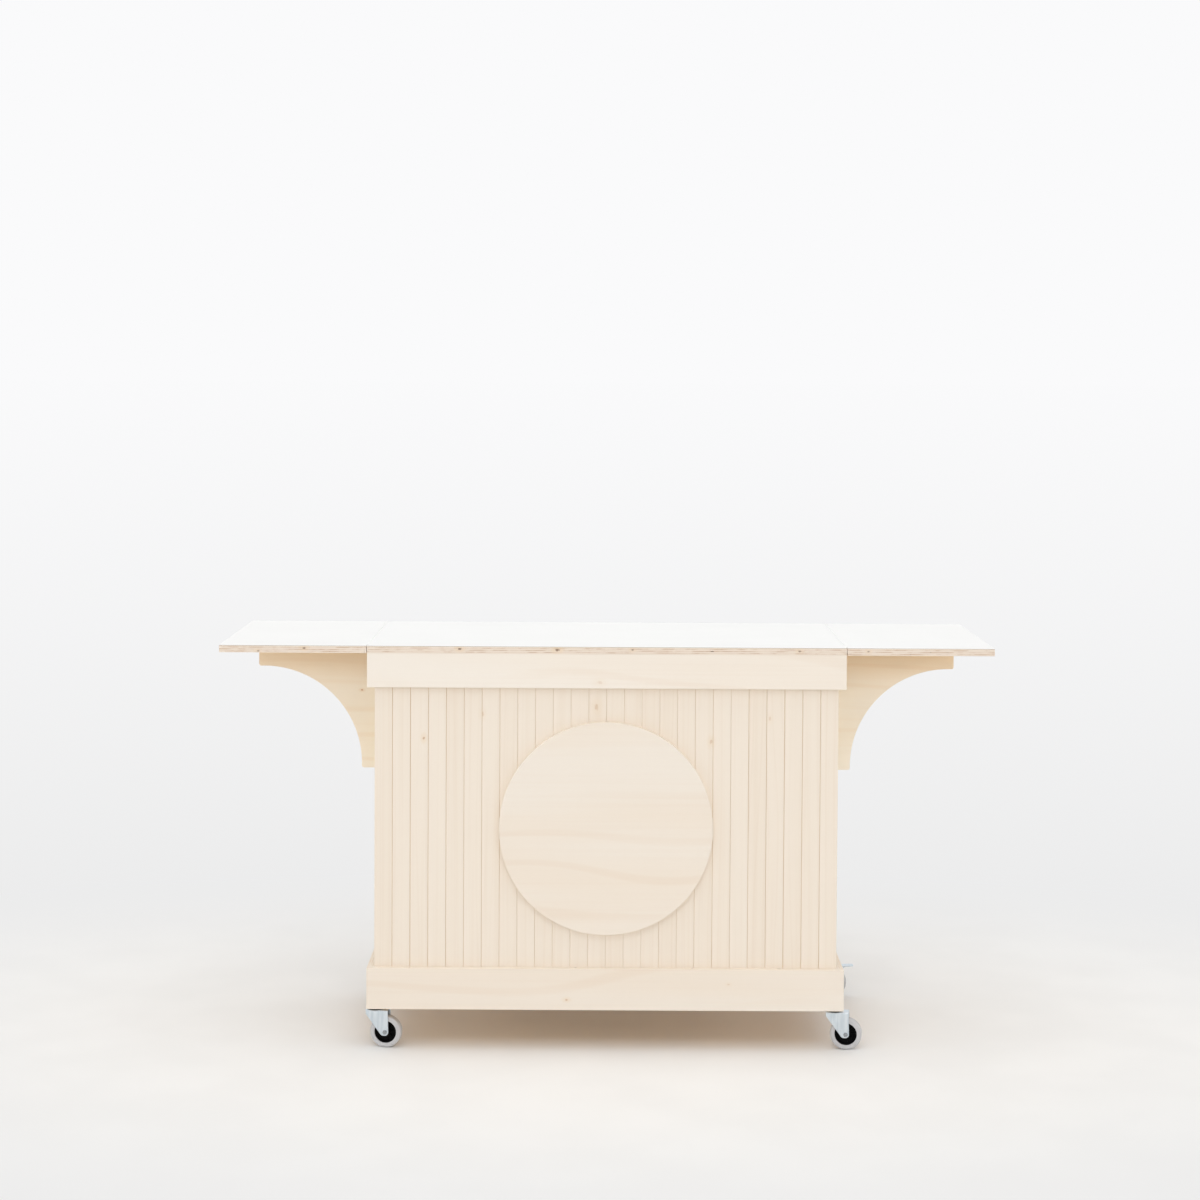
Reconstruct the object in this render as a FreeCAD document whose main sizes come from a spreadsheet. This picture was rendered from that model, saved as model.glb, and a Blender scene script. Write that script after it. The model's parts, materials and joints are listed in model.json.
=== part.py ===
import FreeCAD, Part
import os
import re

import Sketcher

# A food display cart: a cabinet of plywood boards on four castors, with a worktop whose two
# end leaves fold over onto it and two curved brackets that swing out to carry the leaves.
# Millimetres. X runs along the front, the front looks towards -Y, Z is up from the floor.

SIZES = {
    # worktop
    "top_width": 1200,           # centre worktop, band and plinth, end to end
    "top_depth": 600,
    "cart_height": 1020,         # floor to the white surface
    "top_thick": 18,             # ply and laminate together
    "laminate_thick": 1,
    "leaf_length": 368.4,
    # cabinet
    "board_thick": 18,           # side panels, band and plinth boards
    "band_height": 86,
    "plinth_height": 104,
    "deck_thick": 27,
    "backing_thick": 9,
    "slat_count": 26,
    "slat_thick": 9,
    "slat_gap": 0.8,
    "slat_bevel": 1.2,
    "disc_radius": 268.5,
    "disc_thick": 18,
    "disc_height": 562.3,        # floor to the centre of the round panel
    "shelf_height": 560,         # floor to the top of the shelf
    "shelf_thick": 18,
    "shelf_play": 1,             # shelf to side panels and backing
    "shelf_setback": 20,         # shelf to the back edge of the side panels
    "peg_radius": 2.5,
    "peg_sunk": 12,              # shelf peg inside the side panel
    "peg_reach": 12,             # shelf peg under the shelf
    "peg_inset": 60,             # shelf peg from the shelf's front and back edge
    "batten_size": 25,
    "batten_inset": 40,          # batten from the backing and from the back edge
    # screws
    "screw_radius": 2,
    "screw_head_radius": 4,
    "screw_head_thick": 2.5,
    "screw_bite": 12,            # depth in the piece that the screw holds
    "screw_circle": 180,         # round panel: screws from its centre
    "screw_inset": 60,           # battens: screws from each end
    "hole_clear": 0.05,
    # brackets
    "bracket_reach": 305.4,
    "bracket_drop": 332,         # underside of the worktop to the bracket's foot
    "bracket_thick": 18,
    "bracket_tip": 66,           # height left at the outer end
    "bracket_foot": 36.4,        # width left at the foot
    "bracket_curve": 255,        # radius of the quarter-round cut-out
    "bracket_corner": 6,
    "bracket_place": -20,        # middle of the bracket, from the middle of the depth
    "bracket_gap": 0.3,          # bracket to the underside of the leaf
    "cleat_width": 60,
    # continuous hinges
    "flap_thick": 0.8,
    "leaf_flap_width": 14,
    "bracket_flap_width": 16,
    "knuckle_radius": 1.7,
    "knuckle_room": 0.3,         # free space round the knuckles
    "knuckle_gap": 0.3,          # between one knuckle and the next
    "neck_bury": 0.5,            # flap's neck inside the wall of its knuckle
    "pin_radius": 0.8,
    "pin_clear": 0.05,
    "hinge_lift": 0.25,          # pin above the white surface
    "hinge_margin": 10,          # hinge from the ends of what it joins
    "leaf_knuckles": 15,
    "bracket_knuckles": 7,
    # castors
    "castor_height": 104,        # floor to the underside of the deck
    "castor_inset": 19,          # swivel axis from the deck's end
    "castor_setback": 22,        # swivel axis from the deck's front and back edge
    "wheel_radius": 40,
    "wheel_width": 25,
    "tyre_round": 6,
    "core_radius": 28,
    "core_width": 21,
    "core_rim": 4,
    "core_web": 9,
    "hub_radius": 11,
    "hub_play": 0.3,             # hub to the fork, each side
    "tyre_clear": 0.05,
    "fork_clear": 1.5,           # tyre to the fork, each side
    "fork_sheet": 2,
    "fork_crown": 2.5,           # thickness of the fork's top
    "fork_front": 21,            # fork ahead of the swivel axis
    "fork_shoulder": 11,         # height of the fork's front edge
    "fork_end": 9,               # fork round the axle
    "fork_tail": 7,              # fork behind the axle, at its top
    "fork_corner": 9,
    "fork_bend": 2.5,            # outer radius where the sheet turns down
    "crown_radius": 23,
    "axle_radius": 3,
    "axle_clear": 0.05,
    "bolt_head": 5.8,            # corner radius of the hexagons on the axle
    "bolt_thick": 3.5,
    "front_trail": 29,
    "rear_trail": 42,
    "front_turn": -9,            # front castors stand turned a little, degrees
    "rear_turn": 0,
    "race_radius": 20,
    "race_thick": 7.5,
    "race_play": 0.3,
    "king_radius": 6,            # kingpin through the fork's top
    "king_head_radius": 9,
    "king_head_thick": 4,
    "stem_radius": 5,
    "stem_length": 20,
    "insert_radius": 8,
    "insert_length": 22,
    # brake pedals of the rear castors
    "pedal_offset": 2,           # pivot behind the axle
    "pedal_height": 84,          # floor to the pivot
    "pedal_pin_radius": 2.5,
    "pedal_pin_end": 1.5,        # pivot past the fork, each side
    "pedal_width": 24,
    "pedal_sheet": 2.5,
    "pedal_flat": 33,            # pivot to the bend
    "pedal_back": 4,             # sheet ahead of the pivot
    "pedal_reach": 57,           # pivot to the tip
    "pedal_rise": 1,             # tip above the pivot
    "pedal_corner": 6,
    "shoe_angle": 36,            # shoe from the wheel's top, degrees
    "shoe_spread": 4,            # width of the shoe's end, degrees
    "shoe_root": 4,
    "shoe_gap": 4,               # brake shoe to the tyre
}

WORDS = re.compile(r"\b(" + "|".join(SIZES) + r")\b")

doc = FreeCAD.newDocument("food_display_cart")
sheet = doc.addObject("Spreadsheet::Sheet", "Sizes")
for row, (name, size) in enumerate(SIZES.items(), start=1):
    sheet.set(f"A{row}", name)
    sheet.set(f"B{row}", str(size))
    sheet.setAlias(f"B{row}", name)
doc.recompute()

# Places that many pieces share, as expressions on the sheet
HALF_WIDTH = "(top_width / 2)"
HALF_DEPTH = "(top_depth / 2)"
BODY_END = "(top_width / 2 - board_thick)"
BODY_BACK = "(top_depth / 2 - board_thick)"
SLAT_FACE = "(board_thick - top_depth / 2)"
BACKING_FACE = "(board_thick - top_depth / 2 + slat_thick)"
INSIDE_FRONT = "(board_thick - top_depth / 2 + slat_thick + backing_thick)"
UNDER_TOP = "(cart_height - top_thick)"
UNDER_BAND = "(cart_height - top_thick - band_height)"
DECK_TOP = "(castor_height + deck_thick)"
LEAF_START = "(top_width / 2 + 2 * flap_thick)"
BRACKET_BACK = "(bracket_place + bracket_thick / 2)"
KNUCKLE_SPACE = "(knuckle_radius + knuckle_room)"
FORK_INSIDE = "(wheel_width + 2 * fork_clear)"
FORK_OUTSIDE = "(wheel_width + 2 * fork_clear + 2 * fork_sheet)"
FORK_TOP = "(castor_height - race_thick - race_play)"

parts = []


def number(name):
    return float(sheet.get(name))


def bind(obj, expressions):
    for prop, text in expressions.items():
        obj.setExpression(prop, WORDS.sub(r"Sizes.\1", text))
    return obj


def place(obj, x="0", y="0", z="0", turn=None):
    bind(obj, {"Placement.Base.x": x, "Placement.Base.y": y, "Placement.Base.z": z})
    if turn is not None:
        bind(obj, {"Placement.Rotation.Angle": turn})
    return obj


def turned(obj, axis, angle):
    obj.Placement = FreeCAD.Placement(FreeCAD.Vector(), FreeCAD.Rotation(FreeCAD.Vector(*axis), angle))
    return obj


def keep(obj, label):
    obj.Label = label
    parts.append(obj)
    return obj


# Part primitives and booleans

def box(name, start, size):
    obj = doc.addObject("Part::Box", name)
    bind(obj, {"Length": size[0], "Width": size[1], "Height": size[2]})
    return place(obj, *start)


def cylinder(name, radius, height, start, axis=(0, 0, 1), angle=0):
    obj = doc.addObject("Part::Cylinder", name)
    bind(obj, {"Radius": radius, "Height": height})
    return place(turned(obj, axis, angle), *start)


def group(name, members):
    obj = doc.addObject("Part::Compound", name)
    obj.Links = members
    return obj


def fuse(name, members):
    obj = doc.addObject("Part::MultiFuse", name)
    obj.Shapes = members
    return obj


def cut(name, base, tools):
    obj = doc.addObject("Part::Cut", name)
    obj.Base = base
    obj.Tool = tools[0] if len(tools) == 1 else group(name + "_holes", tools)
    return obj


def outward(side, near, length):
    # lower X of something that starts at near and runs outwards on the given side
    return near if side > 0 else f"-({near}) - ({length})"


# PartDesign bodies and their sketches

def origin_feature(body, role):
    return next(f for f in body.Origin.OriginFeatures if f.Role == role)


def new_sketch(body, name, plane, offset=None):
    sketch = body.newObject("Sketcher::SketchObject", name)
    sketch.AttachmentSupport = [(origin_feature(body, plane), "")]
    sketch.MapMode = "FlatFace"
    if offset is not None:
        bind(sketch, {"AttachmentOffset.Base.z": offset})
    return sketch


def pin_point(sketch, geometry, which, across, up):
    # ties one point of the sketch to the sketch's origin
    for kind, text in (("DistanceX", across), ("DistanceY", up)):
        index = sketch.addConstraint(Sketcher.Constraint(kind, -1, 1, geometry, which, 1.0))
        bind(sketch, {f"Constraints[{index}]": text})


def draw_outline(sketch, corners):
    count = len(corners)
    rough = [FreeCAD.Vector(10 * k, 10 * k * k, 0) for k in range(count)]
    for k in range(count):
        sketch.addGeometry(Part.LineSegment(rough[k], rough[(k + 1) % count]))
    for k in range(count):
        sketch.addConstraint(Sketcher.Constraint("Coincident", k, 2, (k + 1) % count, 1))
    for k, (across, up) in enumerate(corners):
        pin_point(sketch, k, 1, across, up)


def draw_circle(sketch, across, up, radius):
    geometry = sketch.addGeometry(Part.Circle(FreeCAD.Vector(1, 1, 0), FreeCAD.Vector(0, 0, 1), 5))
    index = sketch.addConstraint(Sketcher.Constraint("Radius", geometry, 5.0))
    bind(sketch, {f"Constraints[{index}]": radius})
    pin_point(sketch, geometry, 3, across, up)


def pad(body, sketch, length, midplane=False):
    feature = body.newObject("PartDesign::Pad", sketch.Name + "_pad")
    feature.Profile = sketch
    feature.Midplane = midplane
    bind(feature, {"Length": length})
    return feature


def pocket_through(body, sketch):
    feature = body.newObject("PartDesign::Pocket", sketch.Name + "_pocket")
    feature.Profile = sketch
    feature.Type = "ThroughAll"
    feature.Midplane = True
    return feature


def revolve(body, sketch, axis):
    feature = body.newObject("PartDesign::Revolution", sketch.Name + "_turned")
    feature.Profile = sketch
    feature.ReferenceAxis = (origin_feature(body, axis), [""])
    feature.Angle = 360
    return feature


def round_edges(body, base, chosen, radius):
    doc.recompute()
    names = [f"Edge{k}" for k, edge in enumerate(base.Shape.Edges, start=1) if chosen(edge)]
    feature = body.newObject("PartDesign::Fillet", base.Name + "_rounded")
    feature.Base = (base, names)
    bind(feature, {"Radius": radius})
    return feature


def runs_along(edge, axis):
    if not isinstance(edge.Curve, Part.Line):
        return False
    return abs(edge.Curve.Direction.dot(FreeCAD.Vector(*axis))) > 0.999


# Screws of the round panel, driven from inside, and of the battens, driven upwards

DISC_SCREW_HOLD = "(backing_thick + slat_thick + screw_bite)"
BATTEN_SCREW_HOLD = "(batten_size + screw_bite)"
BATTEN_FRONT = f"({INSIDE_FRONT} + batten_inset)"
BATTEN_BACK = f"({BODY_BACK} - batten_inset)"

disc_screw_spots = []
for k in range(4):
    angle = 45 + 90 * k
    disc_screw_spots.append((f"screw_circle * cos({angle})", f"disc_height + screw_circle * sin({angle})"))

batten_screw_spots = []
for side in (1, -1):
    for y in (f"{BATTEN_FRONT} + screw_inset", f"{BATTEN_BACK} - screw_inset"):
        batten_screw_spots.append((f"{side} * ({BODY_END} - board_thick - batten_size / 2)", y))


def disc_screw_holes(name):
    return [cylinder(f"{name}_hole_{k}", "screw_radius + hole_clear", f"{DISC_SCREW_HOLD} + hole_clear",
                     (x, INSIDE_FRONT, z), (1, 0, 0), 90)
            for k, (x, z) in enumerate(disc_screw_spots)]


def batten_screw_holes(name):
    return [cylinder(f"{name}_hole_{k}", "screw_radius + hole_clear", f"{BATTEN_SCREW_HOLD} + hole_clear",
                     (x, y, f"{UNDER_TOP} - batten_size"))
            for k, (x, y) in enumerate(batten_screw_spots)]


screws = []
for k, (x, z) in enumerate(disc_screw_spots):
    shank = cylinder(f"disc_shank_{k}", "screw_radius", DISC_SCREW_HOLD, (x, INSIDE_FRONT, z), (1, 0, 0), 90)
    head = cylinder(f"disc_screw_head_{k}", "screw_head_radius", "screw_head_thick",
                    (x, f"{INSIDE_FRONT} + screw_head_thick", z), (1, 0, 0), 90)
    screws.append(fuse(f"disc_screw_{k}", [shank, head]))
for k, (x, y) in enumerate(batten_screw_spots):
    under = f"{UNDER_TOP} - batten_size"
    shank = cylinder(f"batten_shank_{k}", "screw_radius", BATTEN_SCREW_HOLD, (x, y, under))
    head = cylinder(f"batten_screw_head_{k}", "screw_head_radius", "screw_head_thick",
                    (x, y, f"{under} - screw_head_thick"))
    screws.append(fuse(f"batten_screw_{k}", [shank, head]))
keep(group("assembly_screws", screws), "assembly_screws")

# Worktop: each board carries its laminate, and both are rebated for the hinge's knuckles

def rebate(name, x):
    width = f"{KNUCKLE_SPACE} - flap_thick"
    depth = f"{KNUCKLE_SPACE} - hinge_lift"
    return box(name, (x, f"-{HALF_DEPTH}", f"cart_height - ({depth})"), (width, "top_depth", depth))


def topped_board(label, x, length, rebate_places, drilled=()):
    layers = (
        (label, UNDER_TOP, "top_thick - laminate_thick"),
        (label.replace("_worktop", "") + "_laminate", "cart_height - laminate_thick", "laminate_thick"),
    )
    for name, z, thick in layers:
        board = box(name + "_board", (x, f"-{HALF_DEPTH}", z), (length, "top_depth", thick))
        tools = [rebate(f"{name}_rebate_{k}", at) for k, at in enumerate(rebate_places)]
        keep(cut(name, board, tools + list(drilled if name == label else ())), name)


rebate_width = f"({KNUCKLE_SPACE} - flap_thick)"
topped_board("centre_worktop", f"-{HALF_WIDTH}", "top_width",
             [f"-{HALF_WIDTH}", f"{HALF_WIDTH} - {rebate_width}"], batten_screw_holes("worktop"))
topped_board("right_leaf", LEAF_START, "leaf_length", [LEAF_START])
topped_board("left_leaf", f"-{LEAF_START} - leaf_length", "leaf_length",
             [f"-{LEAF_START} - {rebate_width}"])

# Cabinet boards

BATTEN_LENGTH = f"({BATTEN_BACK} - {BATTEN_FRONT})"
battens = [
    box(f"batten_{side}", (outward(side, f"{BODY_END} - board_thick - batten_size", "batten_size"),
                           BATTEN_FRONT, f"{UNDER_TOP} - batten_size"),
        ("batten_size", BATTEN_LENGTH, "batten_size"))
    for side in (1, -1)
]
keep(cut("top_battens", group("battens", battens), batten_screw_holes("batten")), "top_battens")

CABINET_DEPTH = f"({BODY_BACK} - {INSIDE_FRONT})"
PEG_HEIGHT = "(shelf_height - shelf_thick - peg_radius - hole_clear)"
SHELF_FRONT = f"({INSIDE_FRONT} + shelf_play)"
SHELF_BACK = f"({BODY_BACK} - shelf_setback)"
peg_rows = (f"{SHELF_FRONT} + peg_inset", f"{SHELF_BACK} - peg_inset")

pegs = []
for side, hand in ((1, "right"), (-1, "left")):
    wall = f"({BODY_END} - board_thick)"
    holes = []
    for k, y in enumerate(peg_rows):
        sunk_at = outward(side, wall, "peg_sunk + hole_clear")
        holes.append(cylinder(f"{hand}_peg_hole_{k}", "peg_radius + hole_clear", "peg_sunk + hole_clear",
                              (sunk_at, y, PEG_HEIGHT), (0, 1, 0), 90))
        peg_at = outward(side, f"{wall} - peg_reach", "peg_sunk + peg_reach")
        pegs.append(cylinder(f"{hand}_peg_{k}", "peg_radius", "peg_sunk + peg_reach",
                             (peg_at, y, PEG_HEIGHT), (0, 1, 0), 90))
    panel = box(f"{hand}_side_board", (outward(side, wall, "board_thick"), INSIDE_FRONT, DECK_TOP),
                ("board_thick", CABINET_DEPTH, f"{UNDER_TOP} - {DECK_TOP}"))
    keep(cut(f"{hand}_side_panel", panel, holes), f"{hand}_side_panel")
    for name, z, height in (("side_band", UNDER_BAND, "band_height"),
                            ("plinth", DECK_TOP, "plinth_height - deck_thick")):
        keep(box(f"{hand}_{name}", (outward(side, BODY_END, "board_thick"), SLAT_FACE, z),
                 ("board_thick", f"2 * {BODY_BACK}", height)), f"{hand}_{name}")
keep(group("shelf_pegs", pegs), "shelf_pegs")

keep(box("shelf", (f"-({BODY_END} - board_thick - shelf_play)", SHELF_FRONT, "shelf_height - shelf_thick"),
         (f"2 * ({BODY_END} - board_thick - shelf_play)", f"{SHELF_BACK} - {SHELF_FRONT}", "shelf_thick")),
     "shelf")

for hand, y in (("front", f"-{HALF_DEPTH}"), ("rear", BODY_BACK)):
    for name, z, height in (("band", UNDER_BAND, "band_height"),
                            ("plinth", "castor_height", "plinth_height")):
        keep(box(f"{hand}_{name}", (f"-{HALF_WIDTH}", y, z), ("top_width", "board_thick", height)),
             f"{hand}_{name}")

backing = box("backing_board", (f"-{BODY_END}", BACKING_FACE, DECK_TOP),
              (f"2 * {BODY_END}", "backing_thick", f"{UNDER_TOP} - {DECK_TOP}"))
keep(cut("front_backing_panel", backing, disc_screw_holes("backing")), "front_backing_panel")

disc = cylinder("round_board", "disc_radius", "disc_thick", ("0", SLAT_FACE, "disc_height"), (1, 0, 0), 90)
keep(cut("round_panel", disc, disc_screw_holes("round")), "round_panel")

# Front boards: one bevelled board, repeated side by side on the backing

SLAT_PITCH = f"((2 * {BODY_END} + slat_gap) / slat_count)"
slat = doc.addObject("PartDesign::Body", "front_slat")
slat_profile = new_sketch(slat, "slat_profile", "XY_Plane")
draw_outline(slat_profile, [
    ("0", "slat_bevel"),
    ("slat_bevel", "0"),
    (f"{SLAT_PITCH} - slat_gap - slat_bevel", "0"),
    (f"{SLAT_PITCH} - slat_gap", "slat_bevel"),
    (f"{SLAT_PITCH} - slat_gap", "slat_thick"),
    ("0", "slat_thick"),
])
pad(slat, slat_profile, f"{UNDER_TOP} - {DECK_TOP}")
place(slat, f"-{BODY_END}", SLAT_FACE, DECK_TOP)
slat_holes = group("slat_holes", disc_screw_holes("slat"))
doc.recompute()
pitch = slat.Shape.BoundBox.XLength + number("slat_gap")
row = []
for k in range(int(number("slat_count"))):
    board = slat.Shape.copy()
    board.translate(FreeCAD.Vector(k * pitch, 0, 0))
    row += board.cut(slat_holes.Shape).Solids
slats = doc.addObject("Part::Feature", "front_slats")
slats.Shape = Part.makeCompound(row)
keep(slats, "front_slats")

# Deck with a threaded insert above each castor

CASTOR_X = f"({HALF_WIDTH} - castor_inset)"
CASTOR_Y = f"({BODY_BACK} - castor_setback)"
castors = [
    ("front_left", f"-{CASTOR_X}", f"-{CASTOR_Y}", "front_trail", "front_turn"),
    ("front_right", CASTOR_X, f"-{CASTOR_Y}", "front_trail", "front_turn"),
    ("rear_left", f"-{CASTOR_X}", CASTOR_Y, "rear_trail", "rear_turn"),
    ("rear_right", CASTOR_X, CASTOR_Y, "rear_trail", "rear_turn"),
]

deck = box("deck_board", (f"-{HALF_WIDTH}", SLAT_FACE, "castor_height"),
           ("top_width", f"2 * {BODY_BACK}", "deck_thick"))
keep(cut("bottom_deck", deck, [
    cylinder(f"{spot}_deck_hole", "insert_radius + hole_clear", "insert_length + hole_clear",
             (x, y, "castor_height")) for spot, x, y, trail, turn in castors]), "bottom_deck")

inserts = []
stems = []
for spot, x, y, trail, turn in castors:
    sleeve = cylinder(f"{spot}_sleeve", "insert_radius", "insert_length", (x, y, "castor_height"))
    thread = cylinder(f"{spot}_thread", "stem_radius + hole_clear", "insert_length", (x, y, "castor_height"))
    inserts.append(cut(f"{spot}_insert", sleeve, [thread]))
    under_fork = f"{FORK_TOP} - fork_crown - race_play - king_head_thick"
    stems.append(fuse(f"{spot}_stem", [
        cylinder(f"{spot}_bolt", "stem_radius", "stem_length", (x, y, "castor_height")),
        cylinder(f"{spot}_race", "race_radius", "race_thick", (x, y, "castor_height - race_thick")),
        cylinder(f"{spot}_kingpin", "king_radius", f"castor_height - ({under_fork})", (x, y, under_fork)),
        cylinder(f"{spot}_king_head", "king_head_radius", "king_head_thick", (x, y, under_fork)),
    ]))
keep(group("castor_inserts", inserts), "castor_inserts")
keep(group("castor_stems", stems), "castor_stems")

# Castors, each modelled about its swivel axis and then set in its place


def stand(obj, x, y, turn):
    return place(turned(obj, (0, 0, 1), 0), x, y, "0", turn)


def make_fork(spot, x, y, trail, turn, braked):
    body = doc.addObject("PartDesign::Body", f"{spot}_fork")
    sides = new_sketch(body, f"{spot}_fork_sides", "XZ_Plane")
    low = "wheel_radius - fork_end"
    draw_outline(sides, [
        ("-fork_front", FORK_TOP),
        (f"{trail} + fork_tail", FORK_TOP),
        (f"{trail} + fork_end", low),
        (f"{trail} - fork_end", low),
        ("-fork_front", f"{FORK_TOP} - fork_shoulder"),
    ])
    blank = pad(body, sides, FORK_OUTSIDE, midplane=True)
    low_edges = number("wheel_radius") - number("fork_end") / 2
    blank = round_edges(body, blank, lambda edge: runs_along(edge, (0, 1, 0))
                        and edge.CenterOfMass.z < low_edges, "fork_corner")
    crease = blank.Shape.BoundBox.ZMax - number("race_play")
    round_edges(body, blank, lambda edge: runs_along(edge, (1, 0, 0))
                and edge.CenterOfMass.z > crease, "fork_bend")
    slot = new_sketch(body, f"{spot}_wheel_slot", "YZ_Plane")
    draw_outline(slot, [
        (f"-{FORK_INSIDE} / 2", "0"),
        (f"{FORK_INSIDE} / 2", "0"),
        (f"{FORK_INSIDE} / 2", f"{FORK_TOP} - fork_crown"),
        (f"-{FORK_INSIDE} / 2", f"{FORK_TOP} - fork_crown"),
    ])
    pocket_through(body, slot)
    crown = new_sketch(body, f"{spot}_crown", "XY_Plane", f"{FORK_TOP} - fork_crown")
    draw_circle(crown, "0", "0", "crown_radius")
    pad(body, crown, "fork_crown")
    king_hole = new_sketch(body, f"{spot}_king_hole", "XY_Plane")
    draw_circle(king_hole, "0", "0", "king_radius + axle_clear")
    pocket_through(body, king_hole)
    axle_hole = new_sketch(body, f"{spot}_axle_hole", "XZ_Plane")
    draw_circle(axle_hole, trail, "wheel_radius", "axle_radius + hole_clear")
    pocket_through(body, axle_hole)
    if braked:
        pivot_hole = new_sketch(body, f"{spot}_pivot_hole", "XZ_Plane")
        draw_circle(pivot_hole, f"{trail} + pedal_offset", "pedal_height", "pedal_pin_radius + axle_clear")
        pocket_through(body, pivot_hole)
    keep(stand(body, x, y, turn), f"{spot}_fork")


def make_axle(spot, x, y, trail, turn):
    half = f"{FORK_OUTSIDE} / 2"
    pieces = [cylinder(f"{spot}_axle_bolt", "axle_radius", FORK_OUTSIDE,
                       (trail, half, "wheel_radius"), (1, 0, 0), 90)]
    for end, start in (("head", f"-{half}"), ("nut", f"{half} + bolt_thick")):
        hexagon = doc.addObject("Part::Prism", f"{spot}_axle_{end}")
        hexagon.Polygon = 6
        bind(hexagon, {"Circumradius": "bolt_head", "Height": "bolt_thick"})
        pieces.append(place(turned(hexagon, (1, 0, 0), 90), trail, start, "wheel_radius"))
    keep(stand(fuse(f"{spot}_axle", pieces), x, y, turn), f"{spot}_axle")


def wheel_place(x, y, trail, turn):
    return f"{x} + {trail} * cos({turn})", f"{y} + {trail} * sin({turn})"


def make_wheel(spot, x, y, trail, turn):
    across, along = wheel_place(x, y, trail, turn)
    hub_half = f"({FORK_INSIDE} / 2 - hub_play)"
    core = doc.addObject("PartDesign::Body", f"{spot}_wheel_core")
    section = new_sketch(core, f"{spot}_core_section", "XY_Plane")
    upper = [
        ("core_radius", "core_width / 2"),
        ("core_radius - core_rim", "core_width / 2"),
        ("core_radius - core_rim", "core_web / 2"),
        ("hub_radius", "core_web / 2"),
        ("hub_radius", hub_half),
        ("axle_radius + axle_clear", hub_half),
    ]
    draw_outline(section, upper + [(radius, f"-({height})") for radius, height in reversed(upper)])
    revolve(core, section, "Y_Axis")
    keep(place(turned(core, (0, 0, 1), 0), across, along, "wheel_radius", turn), f"{spot}_wheel_core")

    tyre = doc.addObject("PartDesign::Body", f"{spot}_tyre")
    section = new_sketch(tyre, f"{spot}_tyre_section", "XY_Plane")
    draw_outline(section, [
        ("core_radius + tyre_clear", "-wheel_width / 2"),
        ("wheel_radius", "-wheel_width / 2"),
        ("wheel_radius", "wheel_width / 2"),
        ("core_radius + tyre_clear", "wheel_width / 2"),
    ])
    ring = revolve(tyre, section, "Y_Axis")
    tread = number("wheel_radius") - number("tyre_clear")
    round_edges(tyre, ring, lambda edge: isinstance(edge.Curve, Part.Circle)
                and edge.Curve.Radius > tread, "tyre_round")
    keep(place(turned(tyre, (0, 0, 1), 0), across, along, "wheel_radius", turn), f"{spot}_tyre")


def make_pedal(spot, x, y, trail, turn):
    body = doc.addObject("PartDesign::Body", f"{spot}_brake_pedal")
    pivot = f"({trail} + pedal_offset)"
    top = "pedal_height + pedal_sheet / 2"
    bottom = "pedal_height - pedal_sheet / 2"
    shoe_end = [(f"{trail} + (wheel_radius + shoe_gap) * sin({angle})",
                 f"wheel_radius + (wheel_radius + shoe_gap) * cos({angle})")
                for angle in ("shoe_angle + shoe_spread", "shoe_angle")]
    side = new_sketch(body, f"{spot}_pedal_side", "XZ_Plane")
    draw_outline(side, [
        (f"{pivot} - pedal_back", top),
        (f"{pivot} + pedal_flat", top),
        (f"{pivot} + pedal_reach", f"{top} + pedal_rise"),
        (f"{pivot} + pedal_reach", f"{bottom} + pedal_rise"),
        (f"{pivot} + pedal_flat", bottom),
        *shoe_end,
        (f"{pivot} + pedal_flat - shoe_root", bottom),
        (f"{pivot} - pedal_back", bottom),
    ])
    tread = pad(body, side, "pedal_width", midplane=True)
    doc.recompute()
    tip = tread.Shape.BoundBox.XMax - number("pedal_sheet") / 2
    round_edges(body, tread, lambda edge: runs_along(edge, (0, 0, 1))
                and edge.CenterOfMass.x > tip, "pedal_corner")
    pin = new_sketch(body, f"{spot}_pedal_pin", "XZ_Plane")
    draw_circle(pin, pivot, "pedal_height", "pedal_pin_radius")
    pad(body, pin, f"{FORK_OUTSIDE} + 2 * pedal_pin_end", midplane=True)
    keep(stand(body, x, y, turn), f"{spot}_brake_pedal")


for spot, x, y, trail, turn in castors:
    braked = spot.startswith("rear")
    make_fork(spot, x, y, trail, turn, braked)
    make_axle(spot, x, y, trail, turn)
    make_wheel(spot, x, y, trail, turn)
    if braked:
        make_pedal(spot, x, y, trail, turn)

# Brackets, their cleats and the continuous hinges


def make_bracket(hand, side):
    body = doc.addObject("PartDesign::Body", f"{hand}_bracket")
    blank = new_sketch(body, f"{hand}_bracket_blank", "XZ_Plane")
    near = f"{side} * {LEAF_START}"
    far = f"{side} * ({LEAF_START} + bracket_reach)"
    top = f"{UNDER_TOP} - bracket_gap"
    foot = f"{UNDER_TOP} - bracket_drop"
    draw_outline(blank, [(near, foot), (far, foot), (far, top), (near, top)])
    pad(body, blank, "bracket_thick", midplane=True)
    curve = new_sketch(body, f"{hand}_bracket_curve", "XZ_Plane")
    draw_circle(curve, f"{side} * ({LEAF_START} + bracket_foot + bracket_curve)",
                f"{UNDER_TOP} - bracket_tip - bracket_curve", "bracket_curve")
    cut_out = pocket_through(body, curve)
    doc.recompute()
    bounds = cut_out.Shape.BoundBox
    inner = bounds.XMin if side > 0 else bounds.XMax
    round_edges(body, cut_out, lambda edge: runs_along(edge, (0, 1, 0))
                and abs(edge.CenterOfMass.x - inner) > number("flap_thick")
                and edge.CenterOfMass.z < bounds.ZMax - number("flap_thick"), "bracket_corner")
    keep(place(body, "0", "bracket_place", "0"), f"{hand}_bracket")


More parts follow.
